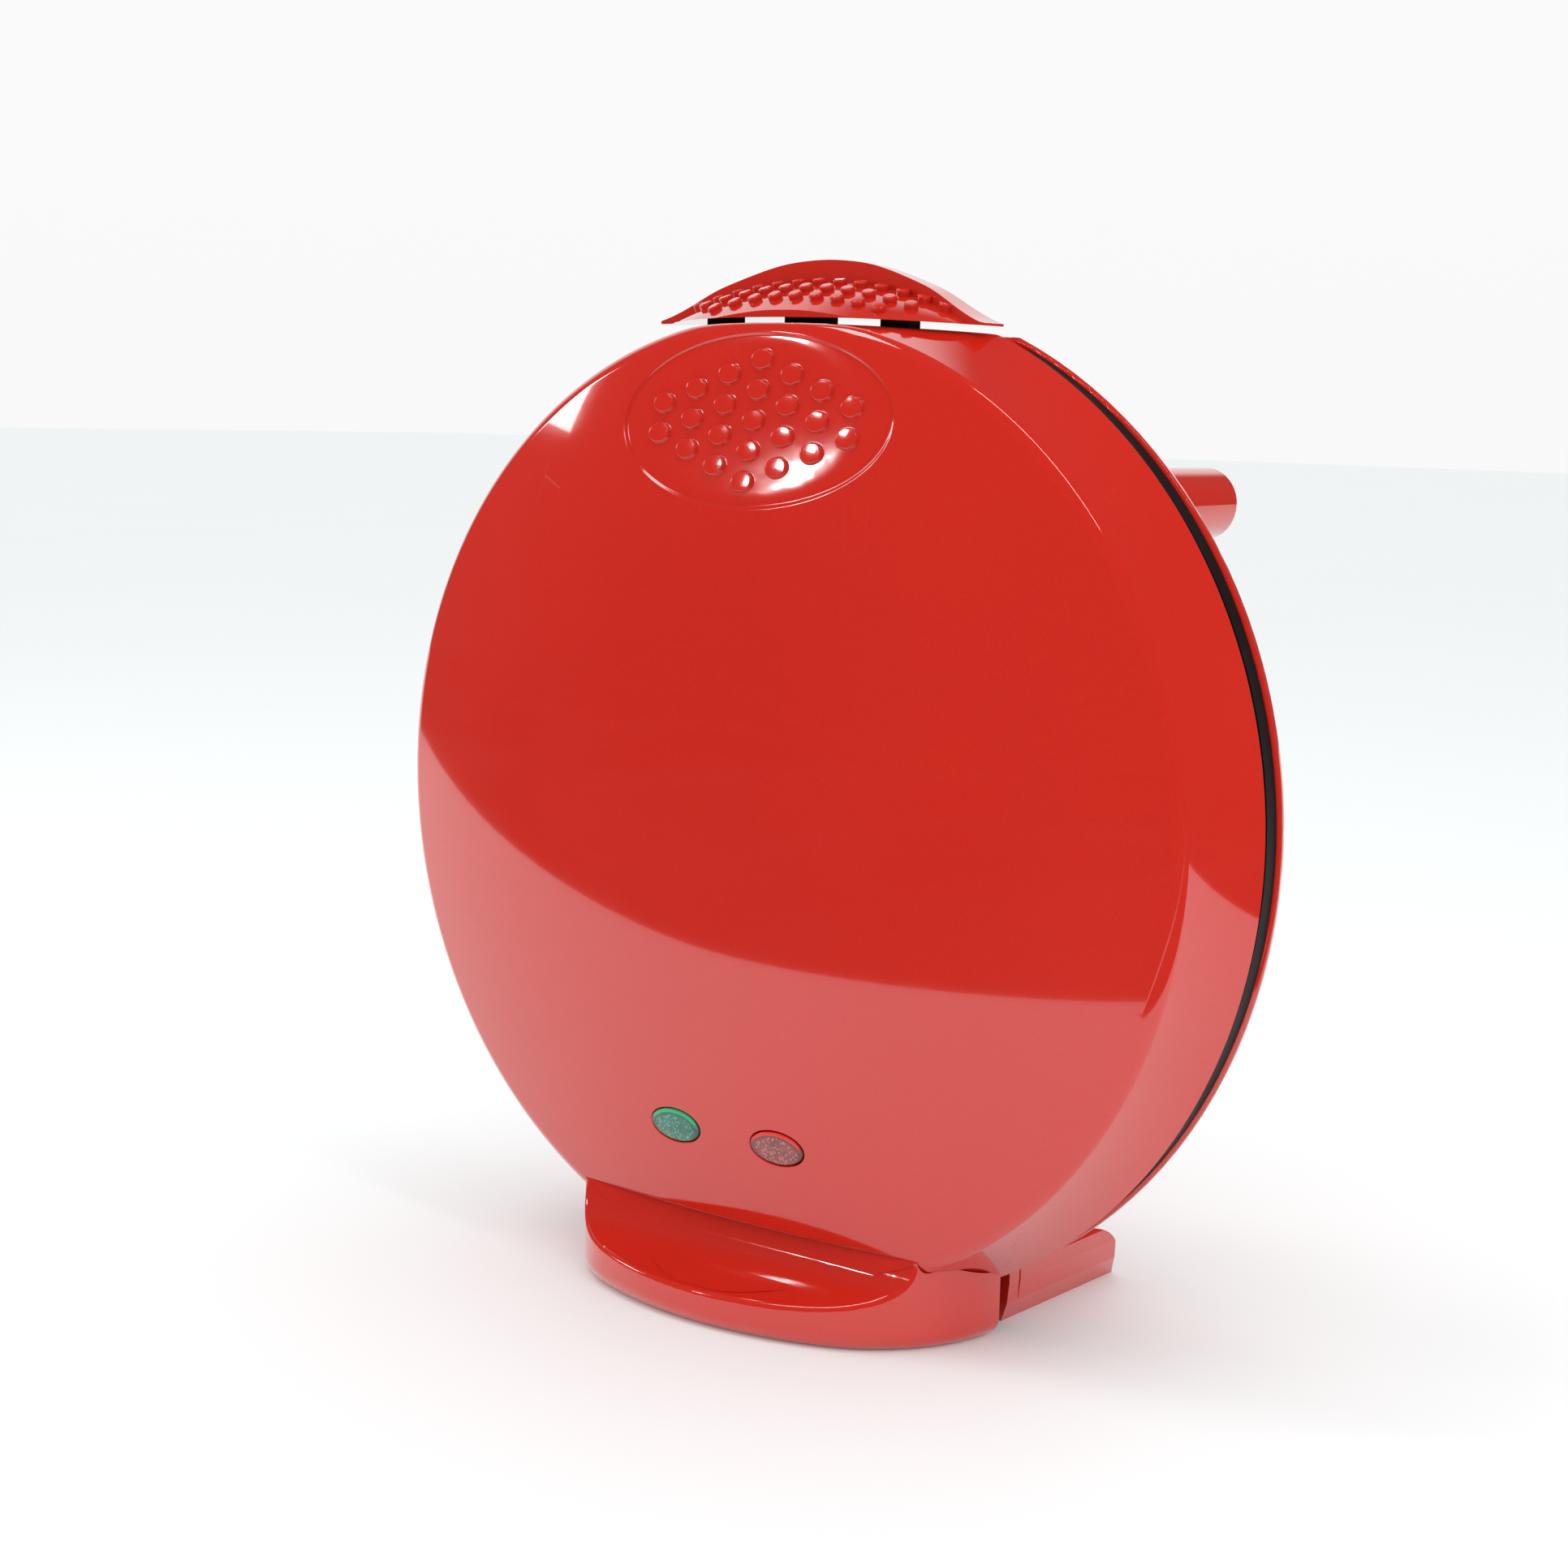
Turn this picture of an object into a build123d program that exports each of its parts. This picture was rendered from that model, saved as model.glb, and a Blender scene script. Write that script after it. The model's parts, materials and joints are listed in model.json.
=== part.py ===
from build123d import *
import os

os.makedirs("parts", exist_ok=True)

# ---------------------------------------------------------------- dimensions
# Millimetres.  The appliance stands on its hinge end: +Z is up, the lid's outer
# face looks towards -Y.  Depths (d) run along +Y from the plane of the lid's
# crown edge, heights (h) run along +Z from the axis of the round body.
disc_height = 145.5        # axis of the round body above the floor
crown_depth = -36.6        # the crown edge plane, in this frame

wall = 2.6                 # moulded shell wall
crown_r = 137.6            # crown edge of the lid
dome_rise = 18.7           # apex of the lid in front of the crown edge
lid_rim_r = 146.7
lid_rim_d = 27.5
chord_top = 136.6          # top of the flat chord cut of the lid, at the middle
base_chord_top = 136.0
chord_drop = 5.9           # the cut is lower by this 100 mm to either side

hinge_d = 23.0             # hinge axis
hinge_h = -139.0
pin_r = 3.0
pin_play = 0.05
arm_x, arm_t = 50.0, 21.0  # middle and width of each hinge arm

cowl_half = 71.0           # hinge cowl of the lid
cowl_front = -25.4
cowl_back = 31.0
nose_r, nose_angle = 110.0, 21.3
cheek_d = 27.45

foot_half = 67.0           # rear foot of the base
foot_front = 37.5
foot_cavity_half = 61.8
leg_x, leg_h, leg_r = 85.5, 89.0, 10.4

plate_r = 128.0            # rim of the baking plates
flange_r = 130.0
upper_face_d = 24.8        # baking faces
lower_face_d = 38.6
upper_land_d = 31.2        # rim lands, nearly touching when shut
lower_land_d = 31.6
plate_t = 2.4
bezel_in_r = 128.4
bezel_out_r = 142.5
bezel_lip_r = 144.9
bezel_top = 133.0
chamber_floor = -131.5     # flat wall between the plate chamber and the hinge
cowl_ceiling = -134.4      # underside of that wall

pad_h, pad_a, pad_b = 109.5, 47.0, 24.0        # oval thumb pad on the lid
pad_bump_r, pad_bump_rise = 3.75, 1.2
pad_pitch_x, pad_pitch_h, pad_top_h = 11.06, 4.26, 126.56
lens_x, lens_h, lens_a, lens_b = 18.6, -93.4, 9.4, 5.1

screw_angles = (20, 60, 120, 160, 215, 325)
screw_ring_r = 135.0
lug_r = 104.0              # lugs that carry the heat shields
element_r, element_tube_r = 85.0, 3.2

disc_axis = Axis((0, crown_depth, disc_height), (0, 1, 0))


def front(d):
    """Plane facing the viewer at depth d: sketch x is x, sketch y is height."""
    return Plane(origin=(0, crown_depth + d, disc_height), x_dir=(1, 0, 0), z_dir=(0, -1, 0))


def back(d):
    """Plane facing away from the viewer at depth d: sketch x is -x, sketch y is height."""
    return Plane(origin=(0, crown_depth + d, disc_height), x_dir=(-1, 0, 0), z_dir=(0, 1, 0))


def side(x):
    """Plane across the width at x: sketch x is depth, sketch y is height."""
    return Plane(origin=(x, crown_depth, disc_height), x_dir=(0, 1, 0), z_dir=(1, 0, 0))


def plan(h):
    """Horizontal plane at height h: sketch x is x, sketch y is depth."""
    return Plane(origin=(0, crown_depth, disc_height + h), x_dir=(1, 0, 0), z_dir=(0, 0, 1))


def spoke(degrees):
    """Plane through the disc axis: sketch x is the radius, sketch y is depth."""
    v = Vector(1, 0, 0).rotate(Axis.Y, -degrees)
    n = Vector(0, 0, 1).rotate(Axis.Y, -degrees)
    return Plane(origin=(0, crown_depth, disc_height), x_dir=v, z_dir=n)


radial = plan(0)           # sketch x is the radius from the disc axis, y is depth


def polar(r, degrees):
    v = Vector(r, 0).rotate(Axis.Z, degrees)
    return (v.X, v.Y)


def lens_plane(sx):
    """Plane touching the dome at a lens, facing out along the dome's normal."""
    return Plane(origin=(sx * lens_x, crown_depth - 10.45, disc_height + lens_h), x_dir=(1, 0, -sx * 0.0),
                 z_dir=(sx * 0.037, -0.9816, -0.187))


# everything above a gentle arch whose middle is at the sketch's origin
with BuildSketch() as sky:
    with BuildLine():
        ThreePointArc((-100, -chord_drop), (0, 0), (100, -chord_drop))
        Polyline((100, -chord_drop), (100, 120), (-100, 120), (-100, -chord_drop))
    make_face()


# ---------------------------------------------------------------- fasteners
def screw(head_r, head_t, shaft_r, length, flat=False):
    """Screw whose head's top is at the origin and whose shaft points along -Z."""
    with BuildPart() as s:
        if flat:
            with BuildSketch():
                Circle(head_r)
            with BuildSketch(Plane.XY.offset(-head_t)):
                Circle(shaft_r)
            loft()
        else:
            with BuildSketch():
                Circle(head_r)
            extrude(amount=-head_t)
        with BuildSketch(Plane.XY.offset(-head_t)):
            Circle(shaft_r)
        extrude(amount=-(length - head_t))
        with BuildSketch():
            Rectangle(head_r * 1.2, 0.7)
            Rectangle(0.7, head_r * 1.2)
        extrude(amount=-0.8, mode=Mode.SUBTRACT)
    return s.part


# outer surface of the lid, from the apex to the crown, as (radius, depth)
dome_points = [(0, -18.7), (30, -18.16), (60, -16.0), (90, -11.74), (110, -7.6), (125, -3.75), (134.6, -1.0)]
# the same surface moved in by the wall
dome_inner = [(0, -16.1), (30, -15.56), (60, -13.38), (90, -9.1), (109.5, -5.0), (124.3, -1.2), (132.4, 1.5)]

# ---------------------------------------------------------------- lid shell
# side profile of the finger scoop in the cowl, and of the concave thumb pad
scoop_line = [(-1, -119.5), (-3, -125.5), (-12, -131.5), (-25, -134.8), (-45, -137.0)]
pad_low, pad_mid, pad_high = (-11.95, pad_h - pad_b), (-5.3, pad_h), (-0.7, pad_h + pad_b)

with BuildPart() as pad_cut:
    with BuildSketch(side(-60)):
        with BuildLine():
            ThreePointArc(pad_low, pad_mid, pad_high)
            Polyline(pad_high, (0.5, 142), (-40, 142), (-40, 78), (-13.5, 78), pad_low)
        make_face()
    extrude(amount=120)
    with BuildSketch(front(20)):
        with Locations((0, pad_h)):
            Ellipse(pad_a, pad_b)
    extrude(amount=80, mode=Mode.INTERSECT)

# thickening behind the pad, so that the wall goes on behind its concave floor
with BuildPart() as pad_boss:
    with BuildSketch(side(-60)):
        with BuildLine():
            ThreePointArc((pad_low[0] + wall, pad_low[1]), (pad_mid[0] + wall, pad_mid[1]), (pad_high[0] + wall, pad_high[1]))
            Polyline((pad_high[0] + wall, pad_high[1]), (3, 142), (-40, 142), (-40, 78), (-11, 78), (pad_low[0] + wall, pad_low[1]))
        make_face()
    extrude(amount=120)
    with BuildSketch(front(20)):
        with Locations((0, pad_h)):
            Ellipse(pad_a + wall, pad_b + wall)
    extrude(amount=80, mode=Mode.INTERSECT)

# twenty-three low oval bumps in a diamond lattice, standing on the tilted floor
pad_plane = Plane(origin=(0, crown_depth + pad_mid[0], disc_height + pad_h), x_dir=(1, 0, 0), z_dir=(0, -0.9724, 0.2334))
lattice = [(0,), (-1, 1), (-2, 0, 2), (-3, -1, 1, 3), (-2, 0, 2), (-3, -1, 1, 3), (-2, 0, 2), (-1, 1), (0,)]
with BuildPart() as pad_bump:
    with BuildSketch(Plane.XY.offset(-2.6)):
        Ellipse(pad_bump_r, pad_bump_r * 0.76)
    extrude(amount=2.6)
    fillet(pad_bump.edges().group_by(Axis.Z)[-1], radius=0.8)
with BuildPart() as pad_bumps:
    for row, columns in enumerate(lattice):
        rise = pad_top_h - row * pad_pitch_h - pad_h
        floor_lift = 1.0 * (rise / pad_b) ** 2
        with Locations(*[pad_plane.location * Location((k * pad_pitch_x, rise * 1.02, floor_lift + pad_bump_rise)) for k in columns]):
            add(pad_bump.part)

# the space inside the lid: dome and side wall, less the wall of the chord cut,
# the floor above the hinge, the back of the scoop and the back of the pad
with BuildPart() as lid_hollow:
    with BuildSketch(radial):
        with BuildLine():
            Spline(*dome_inner, tangents=[(1, 0), (1, 0.45)])
            Polyline((132.4, 1.5), (135.7, 4.2))
            Spline((135.7, 4.2), (139.0, 15.0), (143.7, 27.5))
            Polyline((143.7, 27.5), (143.7, 36), (0, 36), (0, -16.1))
        make_face()
    revolve(axis=disc_axis)
    with BuildSketch(front(-40)):
        with Locations((0, chord_top - wall)):
            add(sky.sketch)
    extrude(amount=-100, mode=Mode.SUBTRACT)
    with BuildSketch(front(-40)):
        with Locations((0, chamber_floor - 25)):
            Rectangle(300, 50)
    extrude(amount=-100, mode=Mode.SUBTRACT)
    with BuildSketch(side(-100)):
        with BuildLine():
            Polyline((-40, -116.5), (-3.2, -116.5), (1.8, -120), (1.8, -140), (-40, -140), (-40, -116.5))
        make_face()
    extrude(amount=200, mode=Mode.SUBTRACT)
    add(pad_boss.part, mode=Mode.SUBTRACT)

# the space inside the cowl, open at the back towards the rear foot
with BuildPart() as cowl_hollow:
    with BuildSketch(plan(-150)):
        with BuildLine():
            cavity_nose = CenterArc((0, cowl_front + nose_r), nose_r - 3.2, 270 - nose_angle, 2 * nose_angle)
            cavity_cheek = TangentArc(cavity_nose @ 1, (cowl_half - 3.2, cheek_d), tangent=cavity_nose % 1)
            Polyline(cavity_cheek @ 1, (cowl_half - 3.2, 40), (-cowl_half + 3.2, 40), (-cowl_half + 3.2, cheek_d))
            TangentArc(cavity_nose @ 0, (-cowl_half + 3.2, cheek_d), tangent=(cavity_nose % 0) * -1)
        make_face()
    extrude(amount=40)
    with BuildSketch(side(-100)):
        with BuildLine():
            Polyline((40, -142.8), (-19, -142.8), (-21, -140.8), (-21, -137.6), (-12, -134.4), (40, -134.4), (40, -142.8))
        make_face()
    extrude(amount=200, mode=Mode.INTERSECT)

# everything inside the lid's outer surface: dome, crown and flared side wall
with BuildPart() as lid_form:
    with BuildSketch(radial):
        with BuildLine():
            Spline(*dome_points, tangents=[(1, 0), (1, 0.32)])
            ThreePointArc((134.6, -1.0), (137.5, 0.1), (138.5, 2.6))
            Spline((138.5, 2.6), (141.9, 15.0), (lid_rim_r, lid_rim_d))
            Polyline((lid_rim_r, lid_rim_d), (0, lid_rim_d), (0, -18.7))
        make_face()
    revolve(axis=disc_axis)
    # flat bottom that stands on the hinge cowl
    with BuildSketch(front(-60)):
        with Locations((0, cowl_ceiling - 25)):
            Rectangle(300, 50)
    extrude(amount=-150, mode=Mode.SUBTRACT)

with BuildPart() as lid_shell:
    add(lid_form.part)
    # flat chord cut under the handle, very slightly arched
    with BuildSketch(front(-60)):
        with Locations((0, chord_top)):
            add(sky.sketch)
    extrude(amount=-150, mode=Mode.SUBTRACT)
    # straight lower edge of the face, above the finger scoop
    with BuildSketch(side(-90)):
        with BuildLine():
            Spline(*scoop_line)
            Polyline(scoop_line[-1], (-45, scoop_line[0][1]), scoop_line[0])
        make_face()
    extrude(amount=180, mode=Mode.SUBTRACT)
    add(lid_hollow.part, mode=Mode.SUBTRACT)
    add(pad_cut.part, mode=Mode.SUBTRACT)
    add(pad_bumps.part)
    # bosses for the bezel screws, with ledges behind the plate's flange
    for a in screw_angles:
        with BuildSketch(front(25.0)):
            with Locations(polar(screw_ring_r, a)):
                Circle(4.2)
        extrude(amount=15.5)
        with BuildSketch(front(22.4)):
            with Locations(Location((0, 0, 0), (0, 0, a))):
                with Locations((132.0, 0)):
                    Rectangle(6.8, 6)
        extrude(amount=12.5)
    # bosses for the cowl screws, on the floor of the chamber
    with BuildSketch(plan(chamber_floor - 0.5)):
        with Locations((-18, 14), (18, 14)):
            Circle(4)
    extrude(amount=5.5)
    # posts for the lamp holder
    with BuildSketch(front(-1.0)):
        with Locations((-31, lens_h), (31, lens_h)):
            Circle(3.2)
    extrude(amount=9)
    # blind screw holes
    for a in screw_angles:
        with BuildSketch(front(25.0)):
            with Locations(polar(screw_ring_r, a)):
                Circle(1.5)
        extrude(amount=11, mode=Mode.SUBTRACT)
    with BuildSketch(front(-1.0)):
        with Locations((-31, lens_h), (31, lens_h)):
            Circle(1.1)
    extrude(amount=5, mode=Mode.SUBTRACT)
    with BuildSketch(plan(-140)):
        with Locations((-18, 14), (18, 14)):
            Circle(1.4)
    extrude(amount=12.4, mode=Mode.SUBTRACT)
    # lens openings, each with a flat seat for the flange behind it
    for sx in (-1, 1):
        with BuildSketch(lens_plane(sx)):
            Ellipse(lens_a, lens_b)
        extrude(amount=8, both=True, mode=Mode.SUBTRACT)
        with BuildSketch(lens_plane(sx).offset(-2.3)):
            Ellipse(lens_a + 2.2, lens_b + 2.2)
        extrude(amount=-5, mode=Mode.SUBTRACT)
    # openings for the three feet of the handle bracket
    with BuildSketch(plan(130)):
        with Locations((-31, 19.5), (31, 19.5)):
            Rectangle(10.4, 5.4)
        with Locations((0, 19.5)):
            Rectangle(15.6, 5.4)
    extrude(amount=10, mode=Mode.SUBTRACT)
lid_shell.part.label = "lid_shell"
export_step(lid_shell.part, "parts/lid_shell.step")

# ---------------------------------------------------------------- hinge cowl
with BuildPart() as hinge_cowl:
    # D-shaped block that reaches the floor, its bottom edge rounded
    with BuildSketch(plan(-disc_height)):
        with BuildLine():
            nose = CenterArc((0, cowl_front + nose_r), nose_r, 270 - nose_angle, 2 * nose_angle)
            cheek = TangentArc(nose @ 1, (cowl_half, cheek_d), tangent=nose % 1)
            Polyline(cheek @ 1, (cowl_half, cowl_back), (-cowl_half, cowl_back), (-cowl_half, cheek_d))
            TangentArc(nose @ 0, (-cowl_half, cheek_d), tangent=(nose % 0) * -1)
        make_face()
    extrude(amount=disc_height - 119.5)
    fillet(hinge_cowl.edges().group_by(Axis.Z)[0].sort_by(Axis.Y)[:-1], radius=5)
    # shoulder beside the lid wall, sloping down towards the back
    with BuildSketch(side(-90)):
        with BuildLine():
            Spline((-1, -120.3), (6, -121.7), (14, -124.2), (22, -126))
            Polyline((22, -126), (50, -126), (50, -100), (-1, -100), (-1, -120.3))
        make_face()
    extrude(amount=180, mode=Mode.SUBTRACT)
    # side walls end short of the rear foot
    with BuildSketch(plan(-150)):
        with Locations((-70.5, 30.5), (70.5, 30.5)):
            Rectangle(10, 8)
    extrude(amount=40, mode=Mode.SUBTRACT)
    # finger scoop
    with BuildSketch(side(-90)):
        with BuildLine():
            Spline(*scoop_line)
            Polyline(scoop_line[-1], (-45, -100), (-1, -100), scoop_line[0])
        make_face()
    extrude(amount=180, mode=Mode.SUBTRACT)
    # rounded lip of the scoop
    lip = hinge_cowl.edges().filter_by(lambda e: 9.0 < e.center().Z < 14.0 and e.center().Y < crown_depth - 14 and e.length > 20)
    fillet(lip, radius=1.5)
    add(lid_form.part, mode=Mode.SUBTRACT)
    add(lid_hollow.part, mode=Mode.SUBTRACT)
    add(cowl_hollow.part, mode=Mode.SUBTRACT)
    # ribs that hold the hinge pins, either side of each arm
    for x0 in (-63.7, -38.8, 36.3, 61.2):
        with BuildSketch(side(x0)):
            with BuildLine():
                Polyline((14.5, -143.2), (30.6, -143.2), (30.6, cowl_ceiling), (14.5, cowl_ceiling), (14.5, -143.2))
            make_face()
        extrude(amount=2.5)
    # columns for the cowl screws
    with BuildSketch(plan(cowl_ceiling)):
        with Locations((-18, 14), (18, 14)):
            Circle(4.5)
    extrude(amount=-9)
    # bores for the pins
    with BuildSketch(side(-66)):
        with Locations((hinge_d, hinge_h)):
            Circle(pin_r)
    extrude(amount=132, mode=Mode.SUBTRACT)
    # slots that the arms of the base leave through as the lid opens
    with BuildSketch(plan(-150)):
        with Locations((-arm_x, 24.5), (arm_x, 24.5)):
            Rectangle(22.4, 16)
    extrude(amount=7.5, mode=Mode.SUBTRACT)
    # screw holes with deep head recesses
    with BuildSketch(plan(-150)):
        with Locations((-18, 14), (18, 14)):
            Circle(1.6)
    extrude(amount=20, mode=Mode.SUBTRACT)
    with BuildSketch(plan(-150)):
        with Locations((-18, 14), (18, 14)):
            Circle(3.0)
    extrude(amount=10, mode=Mode.SUBTRACT)
hinge_cowl.part.label = "hinge_cowl"
export_step(hinge_cowl.part, "parts/hinge_cowl.step")

with BuildPart() as cowl_screws:
    with Locations(*[Location((x0, crown_depth + 14, disc_height - 141.6), (180, 0, 0)) for x0 in (-18, 18)]):
        add(screw(2.7, 1.6, 1.4, 13.0))
cowl_screws.part.label = "cowl_screws"
export_step(cowl_screws.part, "parts/cowl_screws.step")

# ---------------------------------------------------------------- lift handle
handle_axis = Axis((0, crown_depth, disc_height + 14.7), (0, 1, 0))
handle_shelf = [(6, 140.3), (7, 140.9), (12.2, 144.0), (17, 146.3), (23, 148.2), (32, 149.6)]
handle_edge = [(0, 155.2), (8, 154.8), (15, 153.9), (22, 152.2), (31.6, 149.1), (38.6, 146.4), (45, 143.0), (51, 139.9), (57.5, 137.4)]
handle_lip = [(0, 6), (20, 6), (35, 7.5), (45, 11), (52, 15.5), (57.5, 22)]
foot_gap = 0.15

# the finger shelf is a surface of revolution about an axis low in the body
with BuildPart() as handle:
    with BuildSketch(Plane(origin=(0, crown_depth, disc_height + 14.7), x_dir=(1, 0, 0), z_dir=(0, 0, 1))):
        with BuildLine():
            shelf = Spline(*[(h - 14.7, d) for d, h in handle_shelf])
            Polyline(shelf @ 1, (110, 32), (110, 6), shelf @ 0)
        make_face()
    revolve(axis=handle_axis)
    # the upright rim behind the shelf
    with BuildSketch(plan(135)):
        with BuildLine():
            ThreePointArc((-58, 20.2), (0, 26.6), (58, 20.2))
            Polyline((58, 20.2), (58, 31), (-58, 31), (-58, 20.2))
        make_face()
    extrude(amount=22)
    # outline from above
    with BuildSketch(plan(130)):
        with BuildLine():
            lip_r = Spline(*handle_lip)
            Polyline(handle_lip[-1], (57.5, 31), (-57.5, 31), (-57.5, 22))
            Spline(*[(-x, d) for x, d in reversed(handle_lip)])
        make_face()
    extrude(amount=40, mode=Mode.INTERSECT)
    # outline from the front
    with BuildSketch(front(-10)):
        with BuildLine():
            Spline(*([(-x, h) for x, h in reversed(handle_edge)] + handle_edge[1:]))
            Polyline((57.5, 137.4), (57.5, 136.7))
            ThreePointArc((57.5, 136.7), (0, 138.3), (-57.5, 136.7))
            Polyline((-57.5, 136.7), (-57.5, 137.4))
        make_face()
    extrude(amount=-60, mode=Mode.INTERSECT)
    # round grip bumps in three rows
    for d0, n, h0, k2 in ((12.2, 4, 144.0, 0.0043), (17.0, 5, 146.3, 0.0038), (23.0, 6, 148.2, 0.0036)):
        with Locations(*[(k * 7.25, crown_depth + d0, disc_height + h0 - k2 * (k * 7.25) ** 2 - 0.35) for k in range(-n, n + 1)]):
            Sphere(radius=1.95)
    # sockets for the bracket's feet, and the screw holes above them
    with BuildSketch(plan(130)):
        with Locations((-31, 19.5), (31, 19.5)):
            Rectangle(10 + 2 * foot_gap, 5 + 2 * foot_gap)
        with Locations((0, 19.5)):
            Rectangle(15.2 + 2 * foot_gap, 5 + 2 * foot_gap)
    extrude(amount=9.6, mode=Mode.SUBTRACT)
    with BuildSketch(plan(139)):
        with Locations((-31, 19.5), (31, 19.5)):
            Circle(1.5)
    extrude(amount=3.2, mode=Mode.SUBTRACT)
    with BuildSketch(plan(139)):
        with Locations((0, 19.5)):
            Circle(1.5)
    extrude(amount=5.5, mode=Mode.SUBTRACT)
handle.part.label = "handle"
export_step(handle.part, "parts/handle.step")

# bracket inside the lid: an arched bar whose three feet carry the handle
with BuildPart() as handle_bracket:
    with BuildSketch(front(14)):
        with BuildLine():
            ThreePointArc((-37, 133.1), (0, 133.9), (37, 133.1))
            Polyline((37, 133.1), (37, 130.1))
            ThreePointArc((37, 130.1), (0, 130.9), (-37, 130.1))
            Polyline((-37, 130.1), (-37, 133.1))
        make_face()
    extrude(amount=-9)
    with BuildSketch(plan(132)):
        with Locations((-31, 19.5), (31, 19.5)):
            Rectangle(10, 5)
        with Locations((0, 19.5)):
            Rectangle(15.2, 5)
    extrude(amount=7.6)
    with BuildSketch(plan(125)):
        with Locations((-31, 19.5), (0, 19.5), (31, 19.5)):
            Circle(1.6)
    extrude(amount=20, mode=Mode.SUBTRACT)
    with BuildSketch(plan(125)):
        with Locations((-31, 19.5), (0, 19.5), (31, 19.5)):
            Circle(3.1)
    extrude(amount=6.0, mode=Mode.SUBTRACT)
handle_bracket.part.label = "handle_bracket"
export_step(handle_bracket.part, "parts/handle_bracket.step")

with BuildPart() as handle_screws:
    for x0, tip in ((-31, 142.0), (0, 144.2), (31, 142.0)):
        with Locations(Location((x0, crown_depth + 19.5, disc_height + 129.2), (180, 0, 0))):
            add(screw(2.8, 1.8, 1.45, tip - 129.2))
handle_screws.part.label = "handle_screws"
export_step(handle_screws.part, "parts/handle_screws.step")

# ---------------------------------------------------------------- lenses and lamps
with BuildPart() as green_lens:
    with BuildSketch(lens_plane(-1).offset(-2.35)):
        Ellipse(lens_a - 0.15, lens_b - 0.15)
    extrude(amount=3.15)
    fillet(green_lens.edges().group_by(Axis.Y)[0], radius=0.35)
    with BuildSketch(lens_plane(-1).offset(-2.35)):
        Ellipse(lens_a + 2.0, lens_b + 2.0)
    extrude(amount=-1.2)
green_lens.part.label = "green_lens"
export_step(green_lens.part, "parts/green_lens.step")

with BuildPart() as red_lens:
    with BuildSketch(lens_plane(1).offset(-2.35)):
        Ellipse(lens_a - 0.15, lens_b - 0.15)
    extrude(amount=3.15)
    fillet(red_lens.edges().group_by(Axis.Y)[0], radius=0.35)
    with BuildSketch(lens_plane(1).offset(-2.35)):
        Ellipse(lens_a + 2.0, lens_b + 2.0)
    extrude(amount=-1.2)
red_lens.part.label = "red_lens"
export_step(red_lens.part, "parts/red_lens.step")

with BuildPart() as lamp_holder:
    with BuildSketch(back(-1.0)):
        with Locations((0, lens_h)):
            RectangleRounded(72, 15, 3)
    extrude(amount=1.8)
    with BuildSketch(back(-1.0)):
        with Locations((-31, lens_h), (31, lens_h)):
            Circle(1.25)
        with Locations((-lens_x, lens_h), (lens_x, lens_h)):
            Circle(2.5)
    extrude(amount=1.8, mode=Mode.SUBTRACT)
lamp_holder.part.label = "lamp_holder"
export_step(lamp_holder.part, "parts/lamp_holder.step")

with BuildPart() as indicator_lamps:
    with BuildSketch(front(0.8)):
        with Locations((-lens_x, lens_h), (lens_x, lens_h)):
            Circle(2.5)
    extrude(amount=5.6)
    fillet(indicator_lamps.edges().group_by(Axis.Y)[0], radius=1.8)
indicator_lamps.part.label = "indicator_lamps"
export_step(indicator_lamps.part, "parts/indicator_lamps.step")

with BuildPart() as lamp_holder_screws:
    with Locations(*[back(2.0).location * Location((x0, lens_h, 0)) for x0 in (-31, 31)]):
        add(screw(2.4, 1.2, 1.1, 6.5))
lamp_holder_screws.part.label = "lamp_holder_screws"
export_step(lamp_holder_screws.part, "parts/lamp_holder_screws.step")

# ---------------------------------------------------------------- upper heating group
# cast baking plate of the lid: dish with a sealing rim, three diametral ridges
# that press the wedges, and four lugs on its back for the heat shield
with BuildPart() as upper_plate:
    with BuildSketch(radial):
        with BuildLine():
            Polyline((0, upper_face_d), (0, upper_face_d - plate_t), (flange_r, upper_face_d - plate_t), (flange_r, 25.0), (plate_r, 25.0),
                     (plate_r, upper_land_d), (124.0, upper_land_d), (122.0, upper_face_d), (0, upper_face_d))
        make_face()
    revolve(axis=disc_axis)
    with BuildSketch(back(upper_face_d - 0.2)):
        with PolarLocations(0, 3, start_angle=30, angular_range=180):
            SlotOverall(236, 4.6)
    extrude(amount=4.6, taper=12)
    with BuildSketch(front(upper_face_d - 1.0)):
        with PolarLocations(lug_r, 4, start_angle=45):
            Circle(4.0)
    extrude(amount=upper_face_d - 1.0 - 8.8)
    with BuildSketch(front(8.8)):
        with PolarLocations(lug_r, 4, start_angle=45):
            Circle(1.25)
    extrude(amount=-9, mode=Mode.SUBTRACT)
upper_plate.part.label = "upper_plate"
export_step(upper_plate.part, "parts/upper_plate.step")

with BuildPart() as upper_element:
    with BuildSketch(spoke(-72)):
        with Locations((element_r, 19.15)):
            Circle(element_tube_r)
    revolve(axis=disc_axis, revolution_arc=-324)
    with BuildSketch(spoke(-77)):
        with Locations((element_r, 19.15)):
            Circle(1.2)
    revolve(axis=disc_axis, revolution_arc=-334)
upper_element.part.label = "upper_element"
export_step(upper_element.part, "parts/upper_element.step")

with BuildPart() as upper_element_clips:
    for a in (90, 210, 330):
        with BuildSketch(spoke(a)):
            with Locations((element_r, 18.65)):
                RectangleRounded(13, 7.4, 1.2)
            with Locations((element_r, 19.15)):
                Circle(element_tube_r + 0.1, mode=Mode.SUBTRACT)
        extrude(amount=3.5, both=True)
upper_element_clips.part.label = "upper_element_clips"
export_step(upper_element_clips.part, "parts/upper_element_clips.step")

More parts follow.
